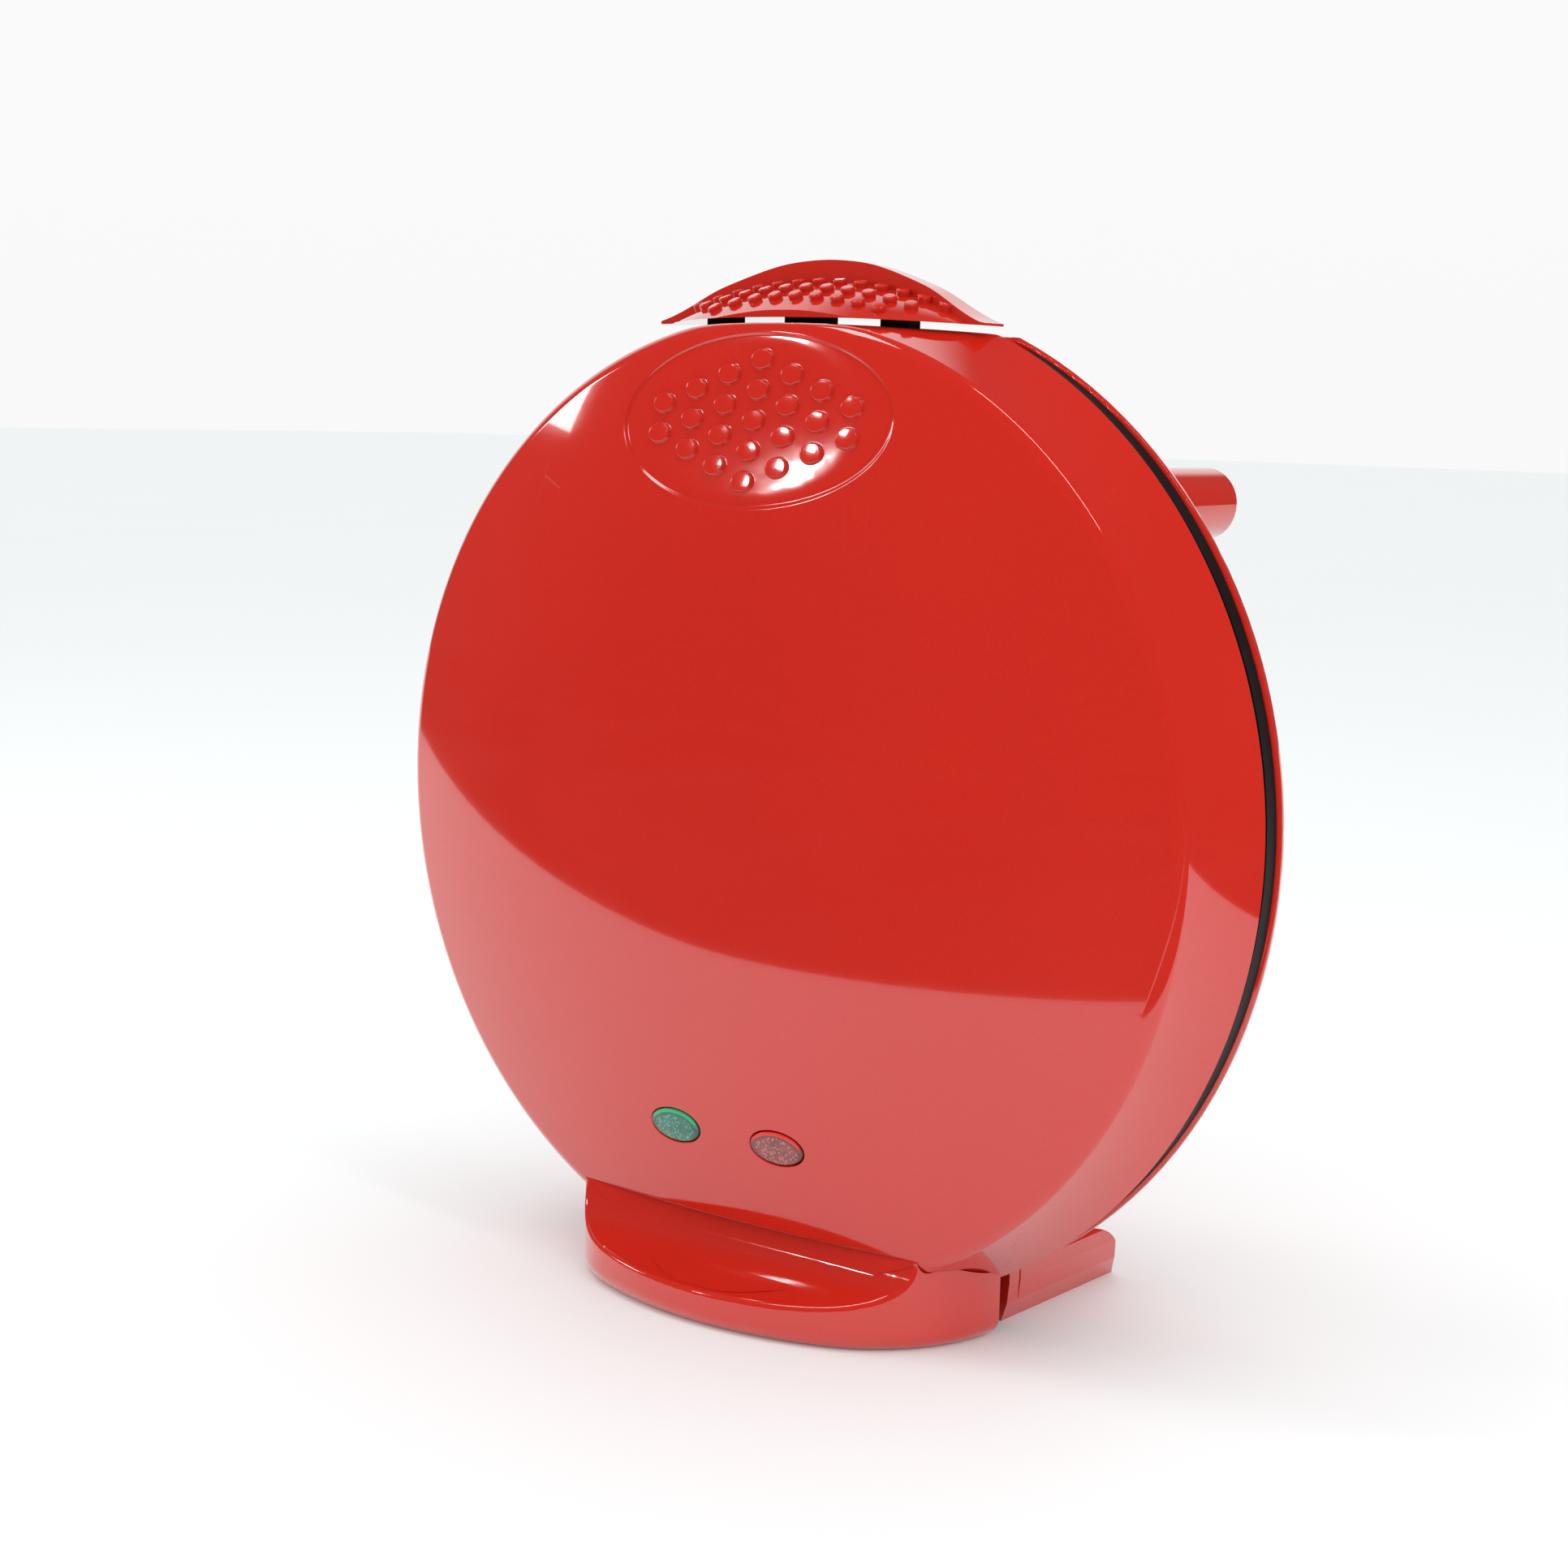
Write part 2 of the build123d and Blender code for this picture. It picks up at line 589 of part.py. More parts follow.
with BuildPart() as upper_heat_shield:
    with BuildSketch(radial):
        with BuildLine():
            Polyline((0, 8.0), (117.0, 8.0), (117.8, 8.8), (117.8, 21.6), (117.0, 21.6), (117.0, 8.8), (0, 8.8), (0, 8.0))
        make_face()
    revolve(axis=disc_axis)
    with BuildSketch(front(0)):
        with PolarLocations(lug_r, 4, start_angle=45):
            Circle(1.6)
    extrude(amount=-20, mode=Mode.SUBTRACT)
upper_heat_shield.part.label = "upper_heat_shield"
export_step(upper_heat_shield.part, "parts/upper_heat_shield.step")

with BuildPart() as upper_shield_screws:
    with Locations(*[front(6.4).location * Location((*polar(lug_r, a), 0)) for a in (45, 135, 225, 315)]):
        add(screw(3.0, 1.6, 1.25, 9.5))
upper_shield_screws.part.label = "upper_shield_screws"
export_step(upper_shield_screws.part, "parts/upper_shield_screws.step")

with BuildPart() as thermal_cutoff:
    with BuildSketch(front(upper_face_d - plate_t)):
        with Locations((38, -24)):
            Circle(8)
    extrude(amount=6.5)
    with BuildSketch(front(upper_face_d - plate_t)):
        with Locations((38, -24)):
            SlotOverall(28, 6)
    extrude(amount=0.8)
    with BuildSketch(front(upper_face_d - plate_t - 6.5)):
        with Locations((34, -24), (42, -24)):
            Rectangle(0.8, 5)
    extrude(amount=5)
thermal_cutoff.part.label = "thermal_cutoff"
export_step(thermal_cutoff.part, "parts/thermal_cutoff.step")

# ---------------------------------------------------------------- black rings in the parting line
with BuildPart(back(31.0)) as lid_bezel:
    with BuildSketch(back(31.0)):
        Circle(bezel_out_r)
        Circle(bezel_in_r, mode=Mode.SUBTRACT)
        with Locations((0, bezel_top)):
            add(sky.sketch, mode=Mode.SUBTRACT)
        with Locations((0, -131.2 - 25)):
            Rectangle(300, 50, mode=Mode.SUBTRACT)
    extrude(amount=-6.0)
    # lip that covers the edge of the lid
    with BuildSketch(back(31.0)):
        Circle(bezel_lip_r)
        Circle(bezel_out_r - 1.5, mode=Mode.SUBTRACT)
        with Locations((0, bezel_top)):
            add(sky.sketch, mode=Mode.SUBTRACT)
        with Locations((0, -124 - 25)):
            Rectangle(300, 50, mode=Mode.SUBTRACT)
    extrude(amount=-3.4)
    with Locations(*[(-polar(screw_ring_r, a)[0], polar(screw_ring_r, a)[1]) for a in screw_angles]):
        CounterSinkHole(radius=1.6, counter_sink_radius=3.1, counter_sink_angle=90)
lid_bezel.part.label = "lid_bezel"
export_step(lid_bezel.part, "parts/lid_bezel.step")

with BuildPart() as lid_bezel_screws:
    with Locations(*[back(31.0).location * Location((-polar(screw_ring_r, a)[0], polar(screw_ring_r, a)[1], 0)) for a in screw_angles]):
        add(screw(3.0, 1.55, 1.45, 16.5, flat=True))
lid_bezel_screws.part.label = "lid_bezel_screws"
export_step(lid_bezel_screws.part, "parts/lid_bezel_screws.step")

with BuildPart(front(31.8)) as base_bezel:
    with BuildSketch(front(31.8)):
        Circle(bezel_out_r)
        Circle(bezel_in_r, mode=Mode.SUBTRACT)
        with Locations((0, bezel_top)):
            add(sky.sketch, mode=Mode.SUBTRACT)
        with Locations((0, -131.2 - 25)):
            Rectangle(300, 50, mode=Mode.SUBTRACT)
    extrude(amount=-5.2)
    # lip that covers the edge of the base
    with BuildSketch(front(31.8)):
        Circle(bezel_lip_r)
        Circle(bezel_out_r - 1.5, mode=Mode.SUBTRACT)
        with Locations((0, bezel_top)):
            add(sky.sketch, mode=Mode.SUBTRACT)
        with Locations((0, -124 - 25)):
            Rectangle(300, 50, mode=Mode.SUBTRACT)
    extrude(amount=-5.1)
    with Locations(*[polar(screw_ring_r, a) for a in screw_angles]):
        CounterSinkHole(radius=1.6, counter_sink_radius=3.1, counter_sink_angle=90)
base_bezel.part.label = "base_bezel"
export_step(base_bezel.part, "parts/base_bezel.step")

with BuildPart() as base_bezel_screws:
    with Locations(*[front(31.8).location * Location((*polar(screw_ring_r, a), 0)) for a in screw_angles]):
        add(screw(3.0, 1.55, 1.45, 12.5, flat=True))
base_bezel_screws.part.label = "base_bezel_screws"
export_step(base_bezel_screws.part, "parts/base_bezel_screws.step")

# ---------------------------------------------------------------- base shell
base_outer = [(145.75, 39.6), (144.3, 41.9), (139, 47.4), (131, 60), (121, 74), (114.2, 79), (108, 80.5)]
base_inner = [(143.4, 38.0), (141.8, 40.2), (136.8, 45.5), (128.9, 58.5), (119.1, 72.2), (112.8, 76.6), (107.4, 77.9)]

with BuildPart() as base_hollow:
    with BuildSketch(radial):
        with BuildLine():
            inner = Spline(*base_inner)
            Polyline((107.4, 77.9), (0, 77.9), (0, 30), (143.4, 30), (143.4, 38.0))
        make_face()
    revolve(axis=disc_axis)
    with BuildSketch(front(0)):
        with Locations((0, base_chord_top - 2.4)):
            add(sky.sketch)
    extrude(amount=-150, mode=Mode.SUBTRACT)
    with BuildSketch(front(0)):
        with Locations((0, chamber_floor - 25)):
            Rectangle(300, 50)
    extrude(amount=-150, mode=Mode.SUBTRACT)

# rear foot: box with a sloping back, its sides drawn in towards the floor
with BuildPart() as foot_block:
    with BuildSketch(side(-foot_half)):
        with BuildLine():
            Polyline((foot_front, -145.5), (98.5, -145.5), (97, -141), (96.2, -134.6))
            Spline((96.2, -134.6), (91.6, -130.8), (81, -127.7), (75, -127))
            Polyline((75, -127), (foot_front, -127), (foot_front, -145.5))
        make_face()
    extrude(amount=2 * foot_half)
    with BuildSketch(front(200)):
        with BuildLine():
            Polyline((-64.6, -145.5), (64.6, -145.5), (66.4, -140), (67, -134), (67, -131.2))
            ThreePointArc((67, -131.2), (66.0, -128.4), (63.4, -127))
            Line((63.4, -127), (-63.4, -127))
            ThreePointArc((-63.4, -127), (-66.0, -128.4), (-67, -131.2))
            Polyline((-67, -131.2), (-67, -134), (-66.4, -140), (-64.6, -145.5))
        make_face()
    extrude(amount=200, mode=Mode.INTERSECT)

with BuildPart() as base_shell:
    # bowl with a rounded bead at its rim
    with BuildSketch(radial):
        with BuildLine():
            Polyline((0, 37.0), (145.1, 37.0))
            ThreePointArc((145.1, 37.0), (145.8, 37.4), (146.1, 38.2))
            bowl = Spline((146.1, 38.2), *base_outer)
            Polyline((108, 80.5), (0, 80.5), (0, 37.0))
        make_face()
    revolve(axis=disc_axis)
    # two round legs
    with BuildSketch(back(50)):
        with Locations((-leg_x, leg_h), (leg_x, leg_h)):
            Circle(leg_r)
    extrude(amount=48)
    fillet(base_shell.edges().filter_by(GeomType.CIRCLE).group_by(Axis.Y)[-1], radius=1.6)
    # front part of the chord wall, over the parting line
    with BuildSketch(front(27.9)):
        with Locations((0, base_chord_top - 2.4)):
            add(sky.sketch)
        Rectangle(116, 300, mode=Mode.INTERSECT)
    extrude(amount=-10.2)
    # chord cut
    with BuildSketch(front(0)):
        with Locations((0, base_chord_top)):
            add(sky.sketch)
    extrude(amount=-150, mode=Mode.SUBTRACT)
    with BuildSketch(front(0)):
        Circle(200)
        Circle(145.9, mode=Mode.SUBTRACT)
    extrude(amount=-35, mode=Mode.SUBTRACT)
    # the rim is cut away where the lid's hinge cowl stands
    with BuildSketch(front(0)):
        with Locations((0, -145)):
            Rectangle(152, 40)
    extrude(amount=-foot_front, mode=Mode.SUBTRACT)
    add(foot_block.part)
    # nothing reaches below the floor
    with BuildSketch(front(0)):
        with Locations((0, -disc_height - 25)):
            Rectangle(300, 50)
    extrude(amount=-150, mode=Mode.SUBTRACT)
    add(base_hollow.part, mode=Mode.SUBTRACT)
    # thin moulding line across the foot's sides
    with BuildSketch(side(-80)):
        with Locations((43.0, -138)):
            Rectangle(0.7, 30)
    extrude(amount=13.6, mode=Mode.SUBTRACT)
    with BuildSketch(side(80)):
        with Locations((43.0, -138)):
            Rectangle(0.7, 30)
    extrude(amount=-13.6, mode=Mode.SUBTRACT)
    # cavity of the foot, open at the bottom
    with BuildSketch(side(-foot_cavity_half)):
        with BuildLine():
            Polyline((40.1, -150), (96.4, -150), (93.8, -136), (89.5, -133.4), (80, -130.3), (68, -130.3), (66, -134.1), (40.1, -134.1), (40.1, -150))
        make_face()
    extrude(amount=2 * foot_cavity_half, mode=Mode.SUBTRACT)
    # slots in the foot's front wall for the hinge arms
    with BuildSketch(front(30)):
        with Locations((-arm_x, -138.3), (arm_x, -138.3)):
            Rectangle(arm_t + 0.6, 9.4)
    extrude(amount=-11, mode=Mode.SUBTRACT)
    # bosses: for the bezel screws, the arms and the sole
    for a in screw_angles:
        with BuildSketch(back(37.0)):
            with Locations((-polar(screw_ring_r, a)[0], polar(screw_ring_r, a)[1])):
                Circle(4.2)
        extrude(amount=9)
        with BuildSketch(front(39.6)):
            with Locations(Location((0, 0, 0), (0, 0, a))):
                with Locations((132.0, 0)):
                    Rectangle(6.8, 6)
        extrude(amount=-9)
    with BuildSketch(plan(-133)):
        with Locations(*[(sx * arm_x, d0) for sx in (-1, 1) for d0 in (48, 60)]):
            Circle(4)
    extrude(amount=-5)
    with BuildSketch(plan(-132.5)):
        with Locations((-25, 46), (25, 46), (-50, 86), (50, 86)):
            Circle(4)
    extrude(amount=-10.5)
    # screw holes in the bosses
    for a in screw_angles:
        with BuildSketch(front(37.0)):
            with Locations(polar(screw_ring_r, a)):
                Circle(1.5)
        extrude(amount=-7.6, mode=Mode.SUBTRACT)
    with BuildSketch(plan(-138)):
        with Locations(*[(sx * arm_x, d0) for sx in (-1, 1) for d0 in (48, 60)]):
            Circle(1.4)
    extrude(amount=5, mode=Mode.SUBTRACT)
    with BuildSketch(plan(-143)):
        with Locations((-25, 46), (25, 46), (-50, 86), (50, 86)):
            Circle(1.4)
    extrude(amount=8.5, mode=Mode.SUBTRACT)
    # sockets for the leg pads
    with BuildSketch(back(94.5)):
        with Locations((-leg_x, leg_h), (leg_x, leg_h)):
            Circle(7)
    extrude(amount=6, mode=Mode.SUBTRACT)
    # hole for the cord gland, in the flat back
    with BuildSketch(back(60)):
        with Locations((45, -85)):
            Circle(6)
    extrude(amount=30, mode=Mode.SUBTRACT)
base_shell.part.label = "base_shell"
export_step(base_shell.part, "parts/base_shell.step")

# ---------------------------------------------------------------- hinge
with BuildPart() as hinge_arms:
    for sx in (-1, 1):
        with BuildSketch(side(sx * arm_x)):
            with Locations((hinge_d, hinge_h)):
                Circle(4.2)
            with BuildLine():
                Polyline((hinge_d, -142.6), (66, -142.6), (66, -138.0), (hinge_d, -138.0), (hinge_d, -142.6))
            make_face()
            with Locations((hinge_d, hinge_h)):
                Circle(pin_r + pin_play, mode=Mode.SUBTRACT)
        extrude(amount=arm_t / 2, both=True)
    with BuildSketch(plan(-150)):
        with Locations(*[(sx * arm_x, d0) for sx in (-1, 1) for d0 in (48, 60)]):
            Circle(1.6)
    extrude(amount=20, mode=Mode.SUBTRACT)
    with BuildSketch(plan(-150)):
        with Locations(*[(sx * arm_x, d0) for sx in (-1, 1) for d0 in (48, 60)]):
            Circle(2.9)
    extrude(amount=9, mode=Mode.SUBTRACT)
hinge_arms.part.label = "hinge_arms"
export_step(hinge_arms.part, "parts/hinge_arms.step")

with BuildPart() as hinge_arm_screws:
    with Locations(*[Location((sx * arm_x, crown_depth + d0, disc_height - 142.5), (180, 0, 0)) for sx in (-1, 1) for d0 in (48, 60)]):
        add(screw(2.7, 1.5, 1.4, 9.0))
hinge_arm_screws.part.label = "hinge_arm_screws"
export_step(hinge_arm_screws.part, "parts/hinge_arm_screws.step")

with BuildPart() as hinge_pins:
    for x0 in (-64.5, 35.5):
        with BuildSketch(side(x0)):
            with Locations((hinge_d, hinge_h)):
                Circle(pin_r)
        extrude(amount=29)
    chamfer(hinge_pins.edges().filter_by(GeomType.CIRCLE), length=0.4)
hinge_pins.part.label = "hinge_pins"
export_step(hinge_pins.part, "parts/hinge_pins.step")

# ---------------------------------------------------------------- sole and feet
with BuildPart() as foot_sole:
    with BuildSketch(plan(-145.5)):
        with Locations((0, (40.4 + 94.8) / 2)):
            RectangleRounded(2 * foot_cavity_half - 0.5, 94.8 - 40.4, 2)
    extrude(amount=2.5)
    with BuildSketch(plan(-145.5)):
        with Locations((-25, 46), (25, 46), (-50, 86), (50, 86)):
            Circle(1.6)
        with Locations(*[(x0, 67) for x0 in range(-24, 25, 8)]):
            SlotOverall(16, 3, rotation=90)
    extrude(amount=2.5, mode=Mode.SUBTRACT)
    with BuildSketch(plan(-145.5)):
        with Locations((-25, 46), (25, 46), (-50, 86), (50, 86)):
            Circle(3.1)
    extrude(amount=1.5, taper=44, mode=Mode.SUBTRACT)
foot_sole.part.label = "foot_sole"
export_step(foot_sole.part, "parts/foot_sole.step")

with BuildPart() as sole_screws:
    with Locations(*[Location((x0, crown_depth + d0, disc_height - 145.4), (180, 0, 0)) for x0, d0 in ((-25, 46), (25, 46), (-50, 86), (50, 86))]):
        add(screw(2.95, 1.45, 1.35, 10.2, flat=True))
sole_screws.part.label = "sole_screws"
export_step(sole_screws.part, "parts/sole_screws.step")

with BuildPart() as leg_pads:
    with BuildSketch(back(94.5)):
        with Locations((-leg_x, leg_h), (leg_x, leg_h)):
            Circle(6.95)
    extrude(amount=4.0)
    fillet(leg_pads.edges().group_by(Axis.Y)[-1], radius=0.4)
leg_pads.part.label = "leg_pads"
export_step(leg_pads.part, "parts/leg_pads.step")

# ---------------------------------------------------------------- lower heating group
with BuildPart() as lower_plate:
    with BuildSketch(radial):
        with BuildLine():
            Polyline((0, lower_face_d), (122.0, lower_face_d), (124.0, lower_land_d), (plate_r, lower_land_d), (plate_r, 37.0), (flange_r, 37.0),
                     (flange_r, 39.6), (plate_r, 39.6), (plate_r, 41.0), (0, 41.0), (0, lower_face_d))
        make_face()
    revolve(axis=disc_axis)
    with BuildSketch(front(lower_face_d + 0.2)):
        with PolarLocations(0, 3, start_angle=30, angular_range=180):
            SlotOverall(236, 4.6)
    extrude(amount=3.8, taper=12)
    with BuildSketch(back(40.0)):
        with PolarLocations(lug_r, 4, start_angle=45):
            Circle(4.0)
    extrude(amount=17.2)
    with BuildSketch(back(57.2)):
        with PolarLocations(lug_r, 4, start_angle=45):
            Circle(1.25)
    extrude(amount=-9, mode=Mode.SUBTRACT)
lower_plate.part.label = "lower_plate"
export_step(lower_plate.part, "parts/lower_plate.step")

with BuildPart() as lower_element:
    with BuildSketch(spoke(-72)):
        with Locations((element_r, 44.3)):
            Circle(element_tube_r)
    revolve(axis=disc_axis, revolution_arc=-324)
    with BuildSketch(spoke(-77)):
        with Locations((element_r, 44.3)):
            Circle(1.2)
    revolve(axis=disc_axis, revolution_arc=-334)
lower_element.part.label = "lower_element"
export_step(lower_element.part, "parts/lower_element.step")

with BuildPart() as lower_element_clips:
    for a in (90, 210, 330):
        with BuildSketch(spoke(a)):
            with Locations((element_r, 44.75)):
                RectangleRounded(13, 7.4, 1.2)
            with Locations((element_r, 44.3)):
                Circle(element_tube_r + 0.1, mode=Mode.SUBTRACT)
        extrude(amount=3.5, both=True)
lower_element_clips.part.label = "lower_element_clips"
export_step(lower_element_clips.part, "parts/lower_element_clips.step")

with BuildPart() as lower_heat_shield:
    with BuildSketch(radial):
        with BuildLine():
            Polyline((0, 58.0), (117.0, 58.0), (117.8, 57.2), (117.8, 41.8), (117.0, 41.8), (117.0, 57.2), (0, 57.2), (0, 58.0))
        make_face()
    revolve(axis=disc_axis)
    with BuildSketch(front(40)):
        with PolarLocations(lug_r, 4, start_angle=45):
            Circle(1.6)
        with Locations((-45, 30)):
            Circle(7)
    extrude(amount=-30, mode=Mode.SUBTRACT)
lower_heat_shield.part.label = "lower_heat_shield"
export_step(lower_heat_shield.part, "parts/lower_heat_shield.step")

with BuildPart() as lower_shield_screws:
    with Locations(*[back(59.6).location * Location((*polar(lug_r, a), 0)) for a in (45, 135, 225, 315)]):
        add(screw(3.0, 1.6, 1.25, 9.5))
lower_shield_screws.part.label = "lower_shield_screws"
export_step(lower_shield_screws.part, "parts/lower_shield_screws.step")

with BuildPart() as thermostat:
    with BuildSketch(back(41.0)):
        with Locations((45, 30)):
            Circle(9)
    extrude(amount=8)
    with BuildSketch(back(41.0)):
        with Locations((45, 30)):
            SlotOverall(30, 7)
    extrude(amount=0.9)
    with BuildSketch(back(49.0)):
        with Locations((41, 30), (49, 30)):
            Rectangle(0.8, 6)
    extrude(amount=5)
thermostat.part.label = "thermostat"
export_step(thermostat.part, "parts/thermostat.step")

# ---------------------------------------------------------------- supply
with BuildPart() as terminal_block:
    with BuildSketch(front(77.9)):
        with Locations((-45, -58)):
            RectangleRounded(30, 14, 1)
    extrude(amount=11)
    with BuildSketch(front(66.9)):
        with Locations((-55, -58), (-45, -58), (-35, -58)):
            Circle(3)
    extrude(amount=-4, mode=Mode.SUBTRACT)
    with BuildSketch(plan(-58)):
        with Locations((-55, 73.9), (-45, 73.9), (-35, 73.9)):
            Circle(1.6)
    extrude(amount=10, both=True, mode=Mode.SUBTRACT)
terminal_block.part.label = "terminal_block"
export_step(terminal_block.part, "parts/terminal_block.step")

with BuildPart() as cord_gland:
    with BuildSketch(back(80.5)):
        with Locations((45, -85)):
            Circle(8)
    extrude(amount=2.2)
    with BuildSketch(back(77.9)):
        with Locations((45, -85)):
            Circle(5.9)
    extrude(amount=2.6)
    with BuildSketch(back(80.5)):
        with Locations((45, -85)):
            Circle(5.2)
    extrude(amount=8)
    with BuildSketch(back(74.9)):
        with Locations((45, -85)):
            Circle(8)
    extrude(amount=3.0)
    with BuildSketch(back(70)):
        with Locations((45, -85)):
            Circle(3.4)
    extrude(amount=30, mode=Mode.SUBTRACT)
cord_gland.part.label = "cord_gland"
export_step(cord_gland.part, "parts/cord_gland.step")
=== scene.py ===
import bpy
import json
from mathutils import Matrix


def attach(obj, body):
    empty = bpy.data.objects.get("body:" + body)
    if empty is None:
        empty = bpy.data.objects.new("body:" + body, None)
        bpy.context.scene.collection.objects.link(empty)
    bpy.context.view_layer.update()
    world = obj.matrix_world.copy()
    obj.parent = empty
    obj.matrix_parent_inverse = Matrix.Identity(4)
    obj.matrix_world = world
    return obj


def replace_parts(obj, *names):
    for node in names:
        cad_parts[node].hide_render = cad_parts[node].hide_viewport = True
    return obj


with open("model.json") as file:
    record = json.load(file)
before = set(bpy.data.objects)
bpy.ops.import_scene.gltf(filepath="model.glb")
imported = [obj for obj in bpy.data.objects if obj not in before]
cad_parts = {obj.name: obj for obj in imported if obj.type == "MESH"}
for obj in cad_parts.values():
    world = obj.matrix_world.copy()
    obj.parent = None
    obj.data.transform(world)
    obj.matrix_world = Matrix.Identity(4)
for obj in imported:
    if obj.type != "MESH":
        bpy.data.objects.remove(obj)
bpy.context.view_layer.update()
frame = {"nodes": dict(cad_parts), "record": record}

import json
import math

import bpy
import numpy as np
from mathutils import Matrix, Vector
from mathutils.geometry import delaunay_2d_cdt

nodes = frame["nodes"]
scene = bpy.context.scene
collection = scene.collection

DISC_Y = -0.0366      # crown edge plane
DISC_Z = 0.1455       # axis of the round body above the floor


# ------------------------------------------------------------------ materials
class Tree:
    """Small helper that builds a material's node tree."""

    def __init__(self, name):
        self.material = bpy.data.materials.new(name)
        self.material.use_nodes = True
        self.nodes = self.material.node_tree.nodes
        self.links = self.material.node_tree.links
        self.nodes.clear()
        self.out = self.nodes.new("ShaderNodeOutputMaterial")
        self.bsdf = self.nodes.new("ShaderNodeBsdfPrincipled")
        self.links.new(self.bsdf.outputs[0], self.out.inputs[0])
        self.coords = self.nodes.new("ShaderNodeTexCoord").outputs["Object"]

    def set(self, **values):
        for key, value in values.items():
            name = key.replace("_", " ")
            socket = self.bsdf.inputs[name]
            if hasattr(value, "is_linked"):
                self.links.new(value, socket)
            else:
                socket.default_value = value

    def stretch(self, sx, sy, sz):
        m = self.nodes.new("ShaderNodeMapping")
        m.inputs["Scale"].default_value = (sx, sy, sz)
        self.links.new(self.coords, m.inputs["Vector"])
        return m.outputs[0]

    def noise(self, scale, detail=2.0, rough=0.5, vector=None):
        n = self.nodes.new("ShaderNodeTexNoise")
        n.inputs["Scale"].default_value = scale
        n.inputs["Detail"].default_value = detail
        n.inputs["Roughness"].default_value = rough
        self.links.new(vector or self.coords, n.inputs["Vector"])
        return n.outputs["Fac"]

    def voronoi(self, scale, feature="F1", output="Distance", vector=None):
        n = self.nodes.new("ShaderNodeTexVoronoi")
        n.feature = feature
        n.inputs["Scale"].default_value = scale
        self.links.new(vector or self.coords, n.inputs["Vector"])
        return n.outputs[output]

    def ramp(self, fac, *stops):
        n = self.nodes.new("ShaderNodeValToRGB")
        els = n.color_ramp.elements
        while len(els) < len(stops):
            els.new(0.5)
        for el, (pos, col) in zip(els, stops):
            el.position = pos
            if not isinstance(col, (tuple, list)):
                col = (col, col, col)
            el.color = (*col, 1.0)
        self.links.new(fac, n.inputs[0])
        return n.outputs["Color"]

    def remap(self, fac, a, b, to_a, to_b):
        n = self.nodes.new("ShaderNodeMapRange")
        n.clamp = True
        for i, v in enumerate((a, b, to_a, to_b)):
            n.inputs[i + 1].default_value = v
        self.links.new(fac, n.inputs[0])
        return n.outputs[0]

    def math(self, op, a, b=None, clamp=False):
        n = self.nodes.new("ShaderNodeMath")
        n.operation = op
        n.use_clamp = clamp
        for i, v in enumerate((a, b)):
            if v is None:
                continue
            if hasattr(v, "is_linked"):
                self.links.new(v, n.inputs[i])
            else:
                n.inputs[i].default_value = v
        return n.outputs[0]

    def mix(self, fac, a, b, blend="MIX"):
        n = self.nodes.new("ShaderNodeMix")
        n.data_type = "RGBA"
        n.blend_type = blend
        for socket, v in ((n.inputs[0], fac), (n.inputs[6], a), (n.inputs[7], b)):
            if hasattr(v, "is_linked"):
                self.links.new(v, socket)
            elif isinstance(v, (tuple, list)):
                socket.default_value = (*v, 1.0)
            else:
                socket.default_value = v
        return n.outputs[2]

    def xyz(self):
        n = self.nodes.new("ShaderNodeSeparateXYZ")
        self.links.new(self.coords, n.inputs[0])
        return n.outputs

    def bump(self, *layers):
        """Layers of (height, strength, distance in metres), stacked."""
        last = None
        for height, strength, distance in layers:
            n = self.nodes.new("ShaderNodeBump")
            n.inputs["Strength"].default_value = strength
            n.inputs["Distance"].default_value = distance
            self.links.new(height, n.inputs["Height"])
            if last is not None:
                self.links.new(last, n.inputs["Normal"])
            last = n.outputs[0]
        return last


def red_plastic():
    t = Tree("red_gloss")
    broad = t.noise(7.0, 3.0)
    speckle = t.noise(1500.0, 2.0, 0.7)
    fine = t.noise(3300.0, 1.0, 0.6)
    colour = t.ramp(broad, (0.3, (0.560, 0.0150, 0.0070)), (0.7, (0.615, 0.0185, 0.0085)))
    colour = t.mix(t.remap(speckle, 0.3, 0.7, 0.0, 0.22), colour, (0.66, 0.035, 0.018))
    colour = t.mix(t.remap(fine, 0.45, 0.75, 0.0, 0.22), colour, (0.40, 0.008, 0.004))
    # faint rubbed patches and hairline scuffs
    patches = t.remap(t.noise(16.0, 5.0, 0.6), 0.52, 0.75, 0.0, 1.0)
    scuff_field = t.voronoi(95.0, "DISTANCE_TO_EDGE", "Distance", t.stretch(1.0, 1.0, 0.18))
    scuffs = t.math("MULTIPLY", t.remap(scuff_field, 0.0, 0.012, 1.0, 0.0), t.remap(t.noise(24.0, 2.0), 0.58, 0.7, 0.0, 1.0))
    dust = t.remap(t.voronoi(420.0), 0.0, 0.07, 1.0, 0.0)
    dust = t.math("MULTIPLY", dust, t.remap(t.noise(60.0, 2.0), 0.62, 0.72, 0.0, 1.0))
    colour = t.mix(t.math("MULTIPLY", dust, 0.35), colour, (0.85, 0.35, 0.30))
    rough = t.math("ADD", t.remap(patches, 0.0, 1.0, 0.070, 0.105), t.math("MULTIPLY", scuffs, 0.2))
    t.set(Base_Color=colour, Roughness=rough, IOR=1.5, Coat_Weight=1.0, Coat_Roughness=0.03, Coat_IOR=1.55)
    t.set(Normal=t.bump((t.noise(95.0, 2.0), 0.10, 0.0002), (t.noise(420.0, 3.0, 0.6), 0.05, 0.00005), (fine, 0.10, 0.00003), (scuffs, 0.15, 0.00003)))
    return t.material


